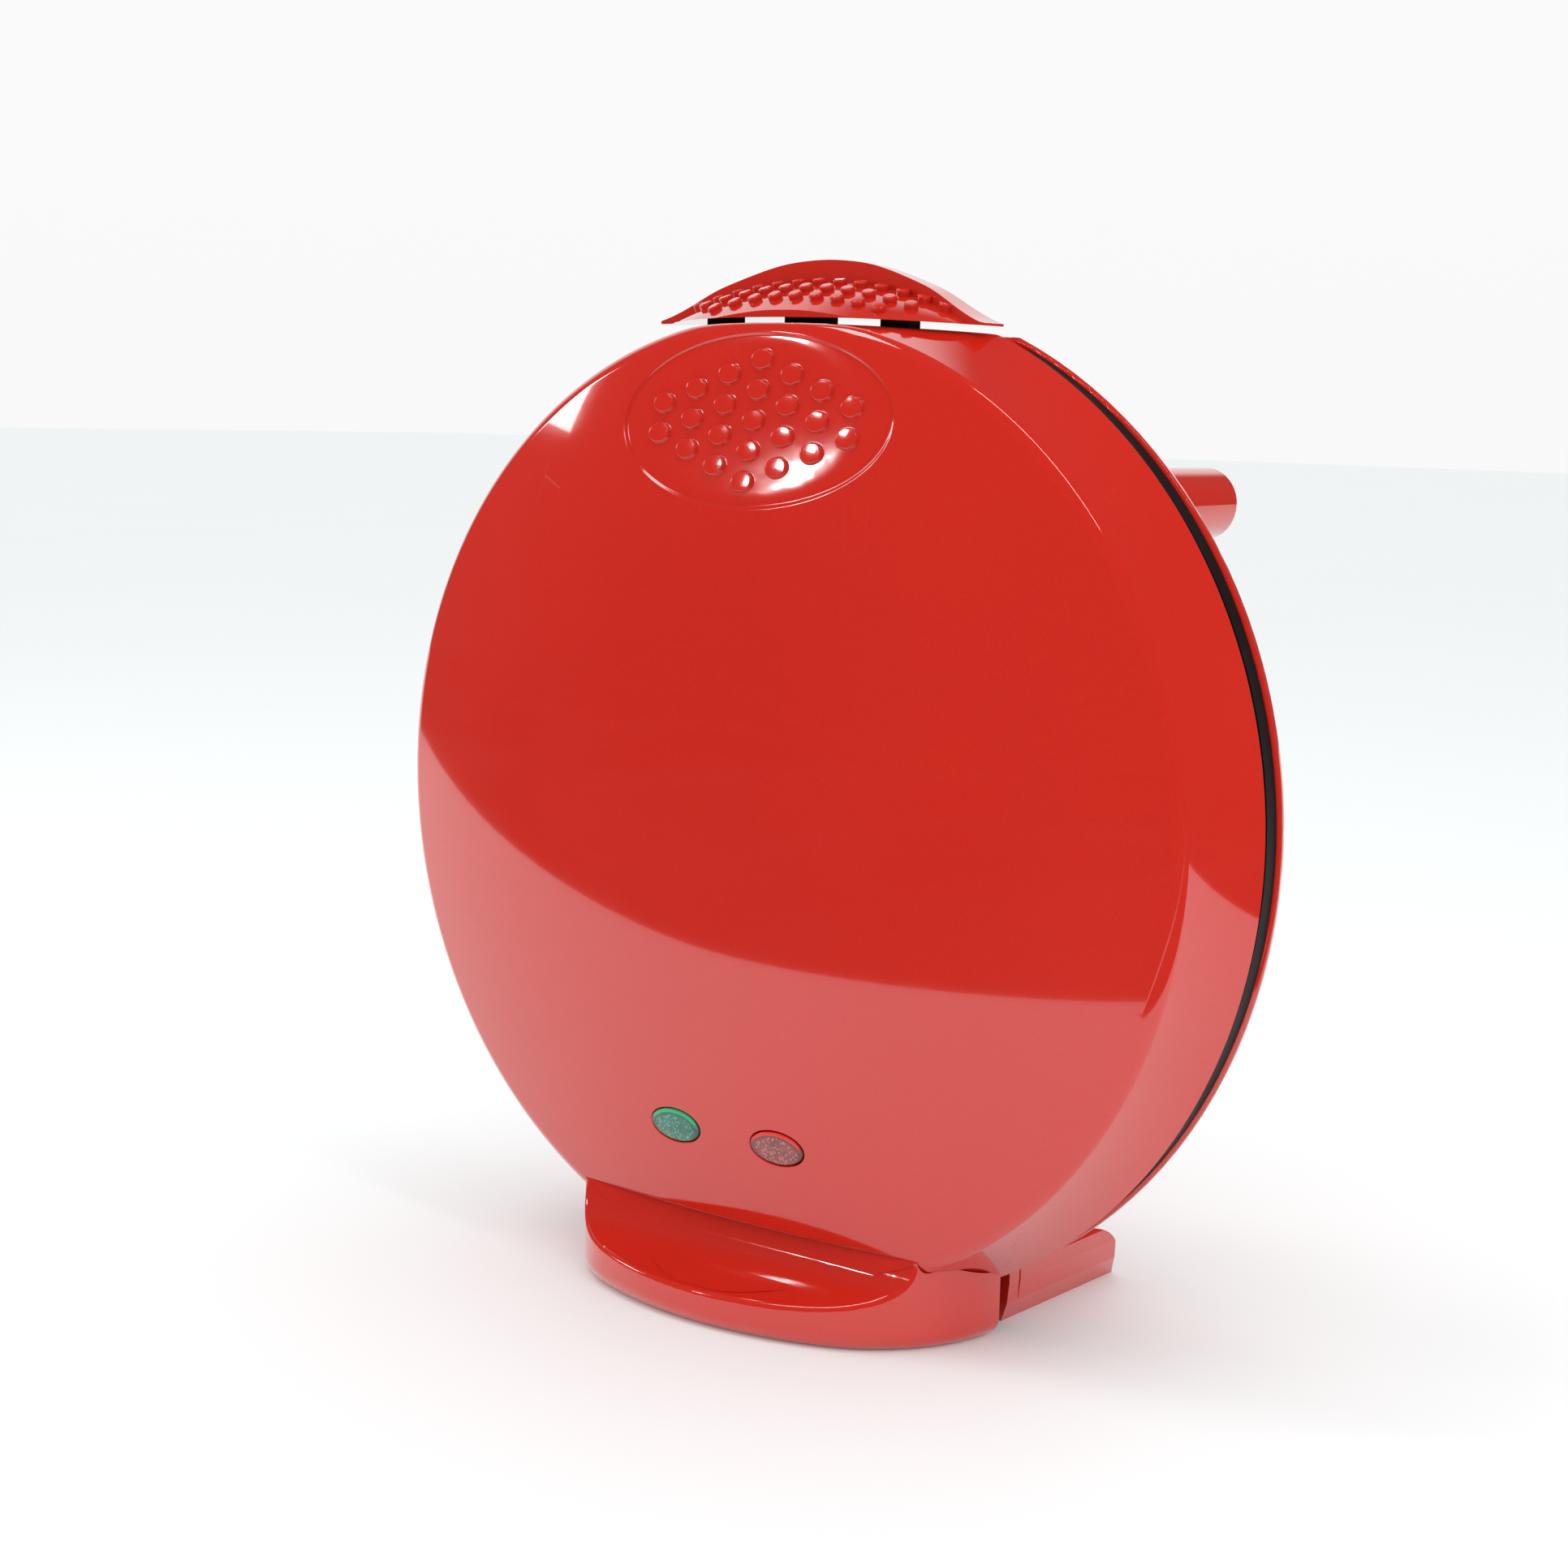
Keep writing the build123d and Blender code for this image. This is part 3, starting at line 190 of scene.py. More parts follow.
def black_plastic():
    t = Tree("black_matte")
    grain = t.voronoi(2600.0, "SMOOTH_F1")
    broad = t.noise(22.0, 4.0)
    colour = t.ramp(broad, (0.3, (0.007, 0.007, 0.0075)), (0.75, (0.013, 0.0125, 0.0125)))
    wear = t.remap(t.noise(120.0, 6.0, 0.7), 0.60, 0.8, 0.0, 1.0)
    colour = t.mix(t.math("MULTIPLY", wear, 0.5), colour, (0.030, 0.029, 0.028))
    t.set(Base_Color=colour, Roughness=t.remap(broad, 0.3, 0.7, 0.45, 0.62), IOR=1.48, Specular_IOR_Level=0.2)
    t.set(Normal=t.bump((grain, 0.25, 0.00005), (t.noise(500.0), 0.1, 0.00005)))
    return t.material


def nonstick():
    t = Tree("nonstick_coating")
    flecks = t.remap(t.voronoi(1900.0), 0.02, 0.16, 1.0, 0.0)
    cast = t.noise(700.0, 4.0, 0.65)
    broad = t.noise(18.0, 4.0)
    colour = t.ramp(broad, (0.3, (0.026, 0.026, 0.028)), (0.7, (0.040, 0.039, 0.040)))
    colour = t.mix(t.math("MULTIPLY", flecks, 0.25), colour, (0.14, 0.14, 0.15))
    worn = t.remap(t.noise(46.0, 6.0, 0.7), 0.60, 0.78, 0.0, 0.6)
    colour = t.mix(worn, colour, (0.055, 0.052, 0.050))
    t.set(Base_Color=colour, Metallic=0.15, Roughness=t.remap(cast, 0.3, 0.7, 0.30, 0.46), IOR=1.5, Coat_Weight=0.3, Coat_Roughness=0.25)
    t.set(Normal=t.bump((cast, 0.3, 0.00006), (broad, 0.1, 0.0004)))
    return t.material


def metal(name, dark, light, rough_lo, rough_hi, stretch, tint=None):
    t = Tree(name)
    brushed = t.noise(160.0, 5.0, 0.7, t.stretch(*stretch))
    blotch = t.noise(34.0, 5.0, 0.6)
    colour = t.ramp(brushed, (0.3, dark), (0.7, light))
    if tint:
        colour = t.mix(t.remap(blotch, 0.45, 0.7, 0.0, 0.7), colour, tint)
    t.set(Base_Color=colour, Metallic=1.0, Roughness=t.remap(blotch, 0.3, 0.7, rough_lo, rough_hi))
    t.set(Normal=t.bump((brushed, 0.12, 0.00005), (t.noise(900.0), 0.08, 0.00003)))
    return t.material


def ceramic():
    t = Tree("glazed_ceramic")
    blotch = t.noise(120.0, 4.0)
    colour = t.ramp(blotch, (0.3, (0.62, 0.57, 0.48)), (0.7, (0.74, 0.70, 0.62)))
    specks = t.remap(t.voronoi(700.0), 0.02, 0.12, 1.0, 0.0)
    colour = t.mix(t.math("MULTIPLY", specks, 0.3), colour, (0.30, 0.24, 0.18))
    t.set(Base_Color=colour, Roughness=t.remap(blotch, 0.3, 0.7, 0.3, 0.5), Coat_Weight=0.5, Coat_Roughness=0.15)
    t.set(Normal=t.bump((t.noise(600.0), 0.15, 0.00005)))
    return t.material


def rubber():
    t = Tree("matte_rubber")
    grain = t.noise(1800.0, 2.0)
    broad = t.noise(70.0, 5.0)
    colour = t.ramp(broad, (0.3, (0.012, 0.012, 0.012)), (0.72, (0.030, 0.029, 0.028)))
    t.set(Base_Color=colour, Roughness=t.remap(broad, 0.3, 0.7, 0.7, 0.88))
    t.set(Normal=t.bump((grain, 0.3, 0.00006)))
    return t.material


def lamp_glass():
    t = Tree("lamp_glass_clear")
    haze = t.noise(300.0, 3.0)
    colour = t.ramp(haze, (0.3, (0.80, 0.70, 0.62)), (0.7, (0.92, 0.86, 0.80)))
    t.set(Base_Color=colour, Roughness=t.remap(haze, 0.3, 0.7, 0.02, 0.08), Transmission_Weight=0.85, IOR=1.47)
    t.set(Normal=t.bump((haze, 0.05, 0.00005)))
    return t.material


LENS_A, LENS_B, LENS_X, LENS_H = 9.4, 5.1, 18.6, -93.4


def lens_plastic(name, sx, deep, pale, edge, ring):
    """Tinted lens over a pimpled diffuser: the diffuser shows in the middle, the lens wall as a dark rim of painted
    shade, and the top of the wall, painted as if it passed more light, in a stronger colour: a painted highlight."""
    t = Tree(name)
    x, y, z = t.xyz()
    u = t.math("DIVIDE", t.math("SUBTRACT", x, sx * LENS_X / 1000), LENS_A / 1000)
    v = t.math("DIVIDE", t.math("SUBTRACT", z, DISC_Z + LENS_H / 1000), LENS_B / 1000)
    e = t.math("SQRT", t.math("ADD", t.math("MULTIPLY", u, u), t.math("MULTIPLY", v, v)))
    v2 = t.math("ADD", v, 0.16)
    e2 = t.math("SQRT", t.math("ADD", t.math("MULTIPLY", u, u), t.math("MULTIPLY", v2, v2)))
    dots = t.remap(t.voronoi(1050.0), 0.16, 0.46, 0.0, 1.0)
    broad = t.noise(260.0, 2.0)
    colour = t.mix(dots, pale, deep)
    colour = t.mix(t.remap(broad, 0.35, 0.65, 0.0, 0.2), colour, pale)
    # the ring colour is painted shade: a dark rim where the lens wall lies
    colour = t.mix(t.remap(e2, 0.74, 0.84, 0.0, 1.0), colour, ring)
    # a band at the top of the wall in the edge colour is a painted highlight
    painted_top_light = t.math("MULTIPLY", t.remap(e2, 0.84, 0.92, 0.0, 1.0), t.remap(v, 0.0, 0.4, 0.0, 1.0))
    colour = t.mix(painted_top_light, colour, edge)
    # a near-black band at the very edge of the lens is painted shade where it meets its opening
    colour = t.mix(t.remap(e, 0.925, 0.97, 0.0, 0.95), colour, tuple(0.12 * c for c in edge))
    t.set(Base_Color=colour, Roughness=t.remap(dots, 0.0, 1.0, 0.30, 0.45), IOR=1.49, Coat_Weight=1.0, Coat_Roughness=0.02)
    t.set(Normal=t.bump((t.noise(700.0), 0.06, 0.00005)))
    return t.material


MATERIALS = {
    "red_shell": red_plastic(),
    "black_trim": black_plastic(),
    # the last two colours of each lens are a painted highlight for the top of its wall and painted shade for its rim
    "green_lens": lens_plastic("green_lens_tint", -1, (0.006, 0.115, 0.075), (0.11, 0.42, 0.30), (0.0, 0.42, 0.16), (0.012, 0.075, 0.055)),
    "red_lens": lens_plastic("red_lens_tint", 1, (0.17, 0.035, 0.035), (0.60, 0.17, 0.15), (0.72, 0.006, 0.002), (0.13, 0.022, 0.022)),
    "lamp_glass": lamp_glass(),
    "nonstick": nonstick(),
    "element": metal("element_sheath", (0.10, 0.095, 0.09), (0.24, 0.22, 0.20), 0.35, 0.5, (1, 1, 1), (0.16, 0.09, 0.06)),
    "shield": metal("aluminised_sheet", (0.62, 0.62, 0.63), (0.80, 0.80, 0.81), 0.28, 0.42, (0.15, 1, 2.5), (0.55, 0.50, 0.42)),
    "steel": metal("zinc_plated_steel", (0.42, 0.42, 0.43), (0.66, 0.66, 0.67), 0.24, 0.38, (1, 0.2, 1)),
    "ceramic": ceramic(),
    "rubber": rubber(),
}

slot_of = {s["node"]: s["material_slot"] for s in frame["record"]["subparts"]}
for name, obj in nodes.items():
    obj.data.materials.clear()
    obj.data.materials.append(MATERIALS[slot_of[name]])


# ------------------------------------------------------------------ lid skin
# All in millimetres about the disc axis: x to the right, h up, d away from the viewer.
DOME_RISE, CROWN_R, DOME_POWER, FACE_R = 18.7, 137.6, 2.33, 134.6
CHORD_TOP, CHORD_ARCH, FACE_FOOT, FLOOR_CUT = 136.6, 0.000588, -119.5, -134.4
PAD_H, PAD_A, PAD_B, PAD_STEP = 109.5, 47.0, 24.0, 0.75
BUMP_R, BUMP_RISE, PITCH_X, PITCH_H, TOP_H = 3.75, 1.2, 11.06, 4.26, 126.56
BUMP_OVAL = 0.76
TILT = np.array([0.0, -0.9724, 0.2334])
LATTICE = [(0,), (-1, 1), (-2, 0, 2), (-3, -1, 1, 3), (-2, 0, 2), (-3, -1, 1, 3), (-2, 0, 2), (-1, 1), (0,)]
BUMPS = np.array([(k * PITCH_X, PAD_H + (TOP_H - row * PITCH_H - PAD_H) * 0.992) for row, ks in enumerate(LATTICE) for k in ks])


def dome(r):
    return -DOME_RISE * (1 - (np.maximum(r, 1e-9) / CROWN_R) ** DOME_POWER)


def smooth_max(a, b, k):
    h = np.clip(0.5 + 0.5 * (a - b) / k, 0, 1)
    return b * (1 - h) + a * h + k * h * (1 - h)


def arc_floor(h):
    """Concave floor of the thumb pad."""
    t = (h - PAD_H) / PAD_B
    return -6.325 + 5.625 * t + 1.025 * (1 - t * t)


def ellipse_gap(x, h, cx, ch, a, b):
    """Near the ellipse, the distance outside it."""
    u, v = (x - cx) / a, (h - ch) / b
    e = np.sqrt(u * u + v * v)
    g = np.sqrt((u / a) ** 2 + (v / b) ** 2)
    return (e - 1) * e / np.maximum(g, 1e-9)


def s_curve(t):
    t = np.clip(t, 0, 1)
    return t * t * (3 - 2 * t)


def bump_height(rho):
    """Low button with a rounded top edge and a small fillet at its foot."""
    top = 0.04 * (1 - (np.clip(rho, 0, 3.1) / 3.1) ** 2)
    shoulder = 0.45 + np.sqrt(np.maximum(0.65 ** 2 - (np.clip(rho, 3.1, 3.75) - 3.1) ** 2, 0))
    foot = 0.45 * (1 - s_curve((rho - 3.72) / 0.30))
    return np.where(rho <= 3.74, shoulder + top, foot)


def face_map(p):
    """3-D point of the lid's face for each (x, h)."""
    x, h = p[:, 0], p[:, 1]
    r = np.hypot(x, h)
    base = dome(r)
    gap = ellipse_gap(x, h, 0.0, PAD_H, PAD_A, PAD_B)
    pad = smooth_max(arc_floor(h), base + PAD_STEP, 0.5)
    w = 1 - s_curve((gap + 0.55) / 1.1)
    d = base + w * (pad - base)
    for sx in (-1, 1):
        g = np.clip(ellipse_gap(x, h, sx * LENS_X, LENS_H, LENS_A, LENS_B), 0, 0.45)
        d = d + 0.45 - np.sqrt(0.45 ** 2 - (0.45 - g) ** 2)
    out = np.stack([x, d, h], 1)
    rho = np.hypot(x[:, None] - BUMPS[None, :, 0], (h[:, None] - BUMPS[None, :, 1]) / BUMP_OVAL).min(1)
    lift = np.where(rho < 4.02, bump_height(rho), 0.0)
    return out + lift[:, None] * TILT


def surface_normals(mapping, params, eps, toward):
    du = np.array([eps[0], 0.0])
    dv = np.array([0.0, eps[1]])
    a = mapping(params + du) - mapping(params - du)
    b = mapping(params + dv) - mapping(params - dv)
    n = np.cross(a, b)
    n /= np.maximum(np.linalg.norm(n, axis=1), 1e-12)[:, None]
    flip = (n * toward(params)).sum(1) < 0
    n[flip] *= -1
    return n


class Skin:
    """Collects patches of faces with their exact corner normals, then welds them into one mesh."""

    def __init__(self):
        self.points, self.normals, self.faces = [], [], []
        self.count = 0

    def add(self, points, normals, faces):
        self.points.append(np.asarray(points, float))
        self.normals.append(np.asarray(normals, float))
        for f in faces:
            self.faces.append(tuple(int(i) + self.count for i in f))
        self.count += len(points)

    def grid(self, points, normals):
        """points and normals are (rows, columns, 3)."""
        rows, cols = points.shape[:2]
        faces = []
        for i in range(rows - 1):
            for j in range(cols - 1):
                a = i * cols + j
                faces.append((a, a + 1, a + cols + 1, a + cols))
        self.add(points.reshape(-1, 3), normals.reshape(-1, 3), faces)

    def build(self, name):
        pts = np.concatenate(self.points)
        nrm = np.concatenate(self.normals)
        key = np.round(pts / 1e-4).astype(np.int64)
        _, first, inverse = np.unique(key, axis=0, return_index=True, return_inverse=True)
        inverse = inverse.ravel()
        world = pts[first].copy() / 1000.0
        world[:, 1] += DISC_Y
        world[:, 2] += DISC_Z
        out_faces, corner_normals = [], []
        for f in self.faces:
            g, c = [], []
            for i in f:
                w = int(inverse[i])
                if w not in g:
                    g.append(w)
                    c.append(i)
            if len(g) < 3:
                continue
            a, b, d = world[g[0]], world[g[1]], world[g[2]]
            n = np.cross(b - a, d - a)
            if len(g) == 4:
                n = n + np.cross(d - a, world[g[3]] - a)
            if np.linalg.norm(n) < 1e-13:
                continue
            if (n * nrm[c].sum(0)).sum() < 0:
                g.reverse()
                c.reverse()
            out_faces.append(g)
            corner_normals.extend(c)
        mesh = bpy.data.meshes.new(name)
        mesh.from_pydata([tuple(p) for p in world], [], out_faces)
        mesh.validate(verbose=False, clean_customdata=False)
        mesh.polygons.foreach_set("use_smooth", [True] * len(mesh.polygons))
        if len(mesh.loops) == len(corner_normals):
            mesh.normals_split_custom_set([tuple(nrm[i]) for i in corner_normals])
        mesh.update()
        obj = bpy.data.objects.new(name, mesh)
        collection.objects.link(obj)
        return obj


def ellipse_ring(cx, ch, a, b, offset, count):
    t = np.linspace(0, 2 * math.pi, count, endpoint=False)
    n = np.stack([np.cos(t) / a, np.sin(t) / b], 1)
    n /= np.linalg.norm(n, axis=1)[:, None]
    return np.stack([cx + a * np.cos(t), ch + b * np.sin(t)], 1) + offset * n


skin = Skin()

# angles of the columns: fine where the chord cut crosses the crown
theta = np.unique(np.round(np.concatenate([
    np.linspace(-90, 55, 230), np.linspace(55, 125, 441), np.linspace(125, 270, 230)]), 6))
theta = np.radians(theta)

foot_angle = math.asin(FACE_FOOT / FACE_R)
face_theta = theta[(theta > foot_angle + 1e-3) & (theta < math.pi - foot_angle - 1e-3)]
ring = np.stack([FACE_R * np.cos(face_theta), FACE_R * np.sin(face_theta)], 1)
corner_x = math.sqrt(FACE_R ** 2 - FACE_FOOT ** 2)

# lower edge of the face, rounded, the rounding dying out at both ends
edge_x = np.linspace(-corner_x, corner_x, 121)
edge_round = 0.8 * np.clip((-1.0 - dome(np.hypot(edge_x, FACE_FOOT))) / 1.6, 0, 1)
edge = np.stack([edge_x, FACE_FOOT + edge_round], 1)

loops = [np.concatenate([ring, edge])]
for offset in (1.6, 1.0, 0.7, 0.5, 0.34, 0.17, 0.0, -0.17, -0.34, -0.5, -0.7, -1.0, -1.6):
    loops.append(ellipse_ring(0, PAD_H, PAD_A, PAD_B, offset, 400))
for cx, ch in BUMPS:
    for rad in (4.25, 4.02, 3.94, 3.86, 3.80, 3.74, 3.70, 3.62, 3.50, 3.34, 3.20, 3.1, 2.4, 1.4):
        loops.append(ellipse_ring(cx, ch, rad, rad * BUMP_OVAL, 0.0, 40 if rad > 2 else 16))
for sx in (-1, 1):
    for offset in (0.0, 0.04, 0.10, 0.18, 0.28, 0.38, 0.46, 0.7, 1.3):
        loops.append(ellipse_ring(sx * LENS_X, LENS_H, LENS_A, LENS_B, offset, 96))

inner = [(0.0, 0.0)]
for r in list(np.arange(4.0, 130.1, 3.6)) + [131.6, 133.2]:
    n = max(6, int(2 * math.pi * r / 3.8))
    for k in range(n):
        a = 2 * math.pi * (k + 0.5 * (int(r / 3.6) % 2)) / n
        inner.append((r * math.cos(a), r * math.sin(a)))
inner = np.array(inner)
keep = inner[:, 1] > FACE_FOOT + 2.0
keep &= np.abs(ellipse_gap(inner[:, 0], inner[:, 1], 0, PAD_H, PAD_A, PAD_B)) > 2.6
for sx in (-1, 1):
    keep &= ellipse_gap(inner[:, 0], inner[:, 1], sx * LENS_X, LENS_H, LENS_A, LENS_B) > 2.0
keep &= np.hypot(inner[:, None, 0] - BUMPS[None, :, 0], inner[:, None, 1] - BUMPS[None, :, 1]).min(1) > 5.0
inner = inner[keep]

verts, cdt_edges = [], []
for loop in loops:
    start = len(verts)
    verts.extend(loop.tolist())
    cdt_edges.extend([(start + i, start + (i + 1) % len(loop)) for i in range(len(loop))])
verts.extend(inner.tolist())
flat, _, tris, _, _, _ = delaunay_2d_cdt([Vector(v) for v in verts], cdt_edges, [], 0, 1e-5)
flat = np.array([(v[0], v[1]) for v in flat])
tris = np.array(tris)
mid = flat[tris].mean(1)
mid_r = np.hypot(mid[:, 0], mid[:, 1])
mid_edge = np.interp(mid[:, 0], edge_x, edge[:, 1])
good = (mid_r < FACE_R) & (mid[:, 1] > mid_edge)
for sx in (-1, 1):
    good &= ellipse_gap(mid[:, 0], mid[:, 1], sx * LENS_X, LENS_H, LENS_A, LENS_B) > 0
tris = tris[good]
forward = lambda p: np.array([0.0, -1.0, 0.0])
face_n = surface_normals(face_map, flat, (0.02, 0.02), forward)
skin.add(face_map(flat), face_n, tris)

# rounded lower edge of the face and the ceiling of the finger scoop behind it
turn = np.linspace(0, math.pi / 2, 7)
edge_3d = face_map(edge)
edge_n = surface_normals(face_map, edge, (0.02, 0.02), forward)
rows_p, rows_n = [], []
for a in turn:
    p = edge_3d.copy()
    p[:, 1] += edge_round * (1 - math.cos(a))
    p[:, 2] = FACE_FOOT + edge_round * (1 - math.sin(a))
    n = edge_n * math.cos(a) + np.array([0, 0, -1.0]) * math.sin(a)
    rows_p.append(p)
    rows_n.append(n / np.linalg.norm(n, axis=1)[:, None])
skin.grid(np.array(rows_p), np.array(rows_n))
ceiling = np.array([rows_p[-1], np.stack([edge_x, np.maximum(-1.0, rows_p[-1][:, 1]), np.full_like(edge_x, FACE_FOOT)], 1)])
skin.grid(ceiling, np.broadcast_to(np.array([0, 0, -1.0]), ceiling.shape))

# back of the scoop, from its ceiling to the floor of the lid
scoop_h = np.array([-134.8, -131.5, -125.5, -119.5])
scoop_d = np.array([-25.0, -12.0, -3.0, -1.0])


def scoop(h):
    coeff = np.polyfit(scoop_h, scoop_d, 3)
    return np.polyval(coeff, h)


def back_map(p):
    """p is (share of the half width, h)."""
    half = np.sqrt(np.maximum(FACE_R ** 2 - p[:, 1] ** 2, 0))
    x = p[:, 0] * half
    return np.stack([x, scoop(p[:, 1]) - 0.06, p[:, 1]], 1)


us, hs = np.linspace(-1, 1, 121), np.linspace(FACE_FOOT, FLOOR_CUT, 34)
grid = np.array([(u, h) for h in hs for u in us])
pts = back_map(grid)
top = pts.reshape(len(hs), len(us), 3)
top[0, :, 0] = edge_x
top[0, :, 1] = np.maximum(-1.0, rows_p[-1][:, 1])
skin.grid(top, surface_normals(back_map, grid, (1e-3, 0.02), forward).reshape(len(hs), len(us), 3))
for side in (0, -1):
    seam = top[:, side]
    deep = seam.copy()
    deep[:, 1] = -1.0
    out = seam * np.array([1.0, 0.0, 1.0])
    out /= np.linalg.norm(out, axis=1)[:, None]
    skin.grid(np.array([seam, deep]), np.array([out, out]))

# crown and flared side wall, then the rim, the inner wall and the inner face
def wall_r(d):
    t = d - 2.6
    return 138.5 + 0.2193 * t + 0.00442 * t * t


def crown_profile(s):
    """(r, d) for s from 0 to 1 round the crown, and from 1 to 2 down the wall."""
    s = np.asarray(s, float)
    t = np.clip(s, 0, 1)
    p0, p1 = (FACE_R, float(dome(np.array(FACE_R)))), (138.5, 2.6)
    m0, m1 = (4.6, 4.6 * 0.3075), (4.6 * 0.2193, 4.6)
    h00, h10, h01, h11 = 2 * t**3 - 3 * t**2 + 1, t**3 - 2 * t**2 + t, -2 * t**3 + 3 * t**2, t**3 - t**2
    r = h00 * p0[0] + h10 * m0[0] + h01 * p1[0] + h11 * m1[0]
    d = h00 * p0[1] + h10 * m0[1] + h01 * p1[1] + h11 * m1[1]
    dw = 2.6 + np.clip(s - 1, 0, 1.2) * 24.9
    return np.where(s <= 1, r, wall_r(dw)), np.where(s <= 1, d, dw)


def chord_clamp(x, h, top, low, k):
    limit = top - CHORD_ARCH * x * x
    h = -smooth_max(-h, -limit, k)
    return np.maximum(h, low)


def outer_map(p):
    r, d = crown_profile(p[:, 1])
    x = r * np.cos(p[:, 0])
    h = r * np.sin(p[:, 0])
    fade = np.clip(p[:, 1] / 0.25, 0, 1)
    cut = chord_clamp(x, h, CHORD_TOP, FLOOR_CUT, 1.3)
    h = np.where(h > 0, h + (cut - h) * fade, np.maximum(h, FLOOR_CUT))
    return np.stack([x, d, h], 1)


def outward(p):
    return np.stack([np.cos(p[:, 0]), np.full(len(p), -0.7), np.sin(p[:, 0])], 1)


ss = np.concatenate([np.linspace(0, 1, 15), 1 + np.linspace(0, 1, 73)[1:]])
grid = np.array([(a, s) for s in ss for a in theta])
pts = outer_map(grid).reshape(len(ss), len(theta), 3)
skin.grid(pts, surface_normals(outer_map, grid, (2e-4, 2e-3), outward).reshape(pts.shape))
rim_outer = pts[-1]


def inner_row(r, d):
    x, h = r * np.cos(theta), r * np.sin(theta)
    h = np.where(h > 0, np.minimum(h, CHORD_TOP - 2.6 - CHORD_ARCH * x * x), np.maximum(h, -131.5))
    return np.stack([x, np.full_like(x, d), h], 1)


def row_normals(rows, toward):
    rows = np.array(rows)
    along = np.gradient(rows, axis=1)
    down = np.gradient(rows, axis=0)
    n = np.cross(along, down)
    n /= np.maximum(np.linalg.norm(n, axis=2), 1e-9)[:, :, None]
    flip = (n * toward).sum(2) < 0
    n[flip] *= -1
    return rows, n


rim_inner = inner_row(143.7, 27.5)
skin.grid(np.array([rim_outer, rim_inner]), np.broadcast_to(np.array([0, 1.0, 0]), (2, len(theta), 3)))
inward = np.stack([-np.cos(theta), np.zeros_like(theta), -np.sin(theta)], 1)[None]
skin.grid(*row_normals([rim_inner] + [inner_row(r, d) for r, d in
                                      ((142.4, 24.0), (141.0, 20.5), (139.0, 15.0), (137.4, 9.6), (135.7, 4.2), (132.4, 1.5))], inward))
behind = np.array([0, 1.0, 0])
skin.grid(*row_normals([inner_row(132.4, 1.5)] + [inner_row(r, d) for r, d in
                                                  ((124.3, -1.2), (109.5, -2.6), (90, -7.6), (60, -13.0), (30, -15.2), (0.0, -15.9))], behind))

# walls of the two lens openings
for sx in (-1, 1):
    lip = face_map(ellipse_ring(sx * LENS_X, LENS_H, LENS_A, LENS_B, 0.0, 96))
    lip = np.concatenate([lip, lip[:1]])
    centre = np.array([sx * LENS_X, 0, LENS_H])
    n = (centre - lip) * np.array([1 / LENS_A ** 2, 0, 1 / LENS_B ** 2])
    n /= np.linalg.norm(n, axis=1)[:, None]
    skin.grid(np.array([lip, lip + np.array([0, 2.6, 0])]), np.array([n, n]))

lid_skin = skin.build("lid_skin")
lid_skin.data.materials.append(MATERIALS["red_shell"])
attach(lid_skin, "lid")
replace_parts(lid_skin, "lid_shell")


# ------------------------------------------------------------------ lenses
def lens(name, sx, slot):
    """Low domed lens with a rounded edge and a wall that goes down into its opening."""
    skin = Skin()
    z_dir = np.array([sx * 0.037, -0.9816, -0.187])
    z_dir /= np.linalg.norm(z_dir)
    x_dir = np.array([1.0, 0.0, 0.0]) - z_dir[0] * z_dir
    x_dir /= np.linalg.norm(x_dir)
    y_dir = np.cross(z_dir, x_dir)
    centre = np.array([sx * LENS_X, -10.45, LENS_H])
    t = np.linspace(0, 2 * math.pi, 97)

    def lens_map(p):
        s = p[:, 1]
        # 0..1 wall, 1..2 edge rounding, 2..3 crown
        wall = np.clip(s, 0, 1)
        turn = np.clip(s - 1, 0, 1) * math.pi / 2
        share = np.clip(s - 2, 0, 1)
        inset = 0.22 + 0.5 * (1 - np.cos(turn))
        k = 1 - share
        a, b = (LENS_A - inset) * k, (LENS_B - inset) * k
        up = -2.2 * (1 - wall) - 0.05 + 0.5 * np.sin(turn) + 0.55 * (1 - k * k)
        return centre + (a * np.cos(p[:, 0]))[:, None] * x_dir + (b * np.sin(p[:, 0]))[:, None] * y_dir + up[:, None] * z_dir

    ss = np.concatenate([[0, 1], 1 + np.linspace(0, 1, 8)[1:], 2 + np.linspace(0, 0.995, 16)[1:]])
    grid = np.array([(a, s) for s in ss for a in t])
    out = lambda p: z_dir * 0.5 + (np.cos(p[:, 0]) / LENS_A)[:, None] * x_dir * 5 + (np.sin(p[:, 0]) / LENS_B)[:, None] * y_dir * 5
    pts = lens_map(grid).reshape(len(ss), len(t), 3)
    skin.grid(pts, surface_normals(lens_map, grid, (1e-3, 1e-3), out).reshape(pts.shape))
    cap = pts[-1]
    skin.add(np.concatenate([cap, [cap[:-1].mean(0)]]), np.broadcast_to(z_dir, (len(cap) + 1, 3)),
             [(i, i + 1, len(cap)) for i in range(len(cap) - 1)])
    obj = skin.build(name)
    obj.data.materials.append(MATERIALS[slot])
    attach(obj, "lid")
    return obj


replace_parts(lens("green_lens_cap", -1, "green_lens"), "green_lens")
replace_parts(lens("red_lens_cap", 1, "red_lens"), "red_lens")


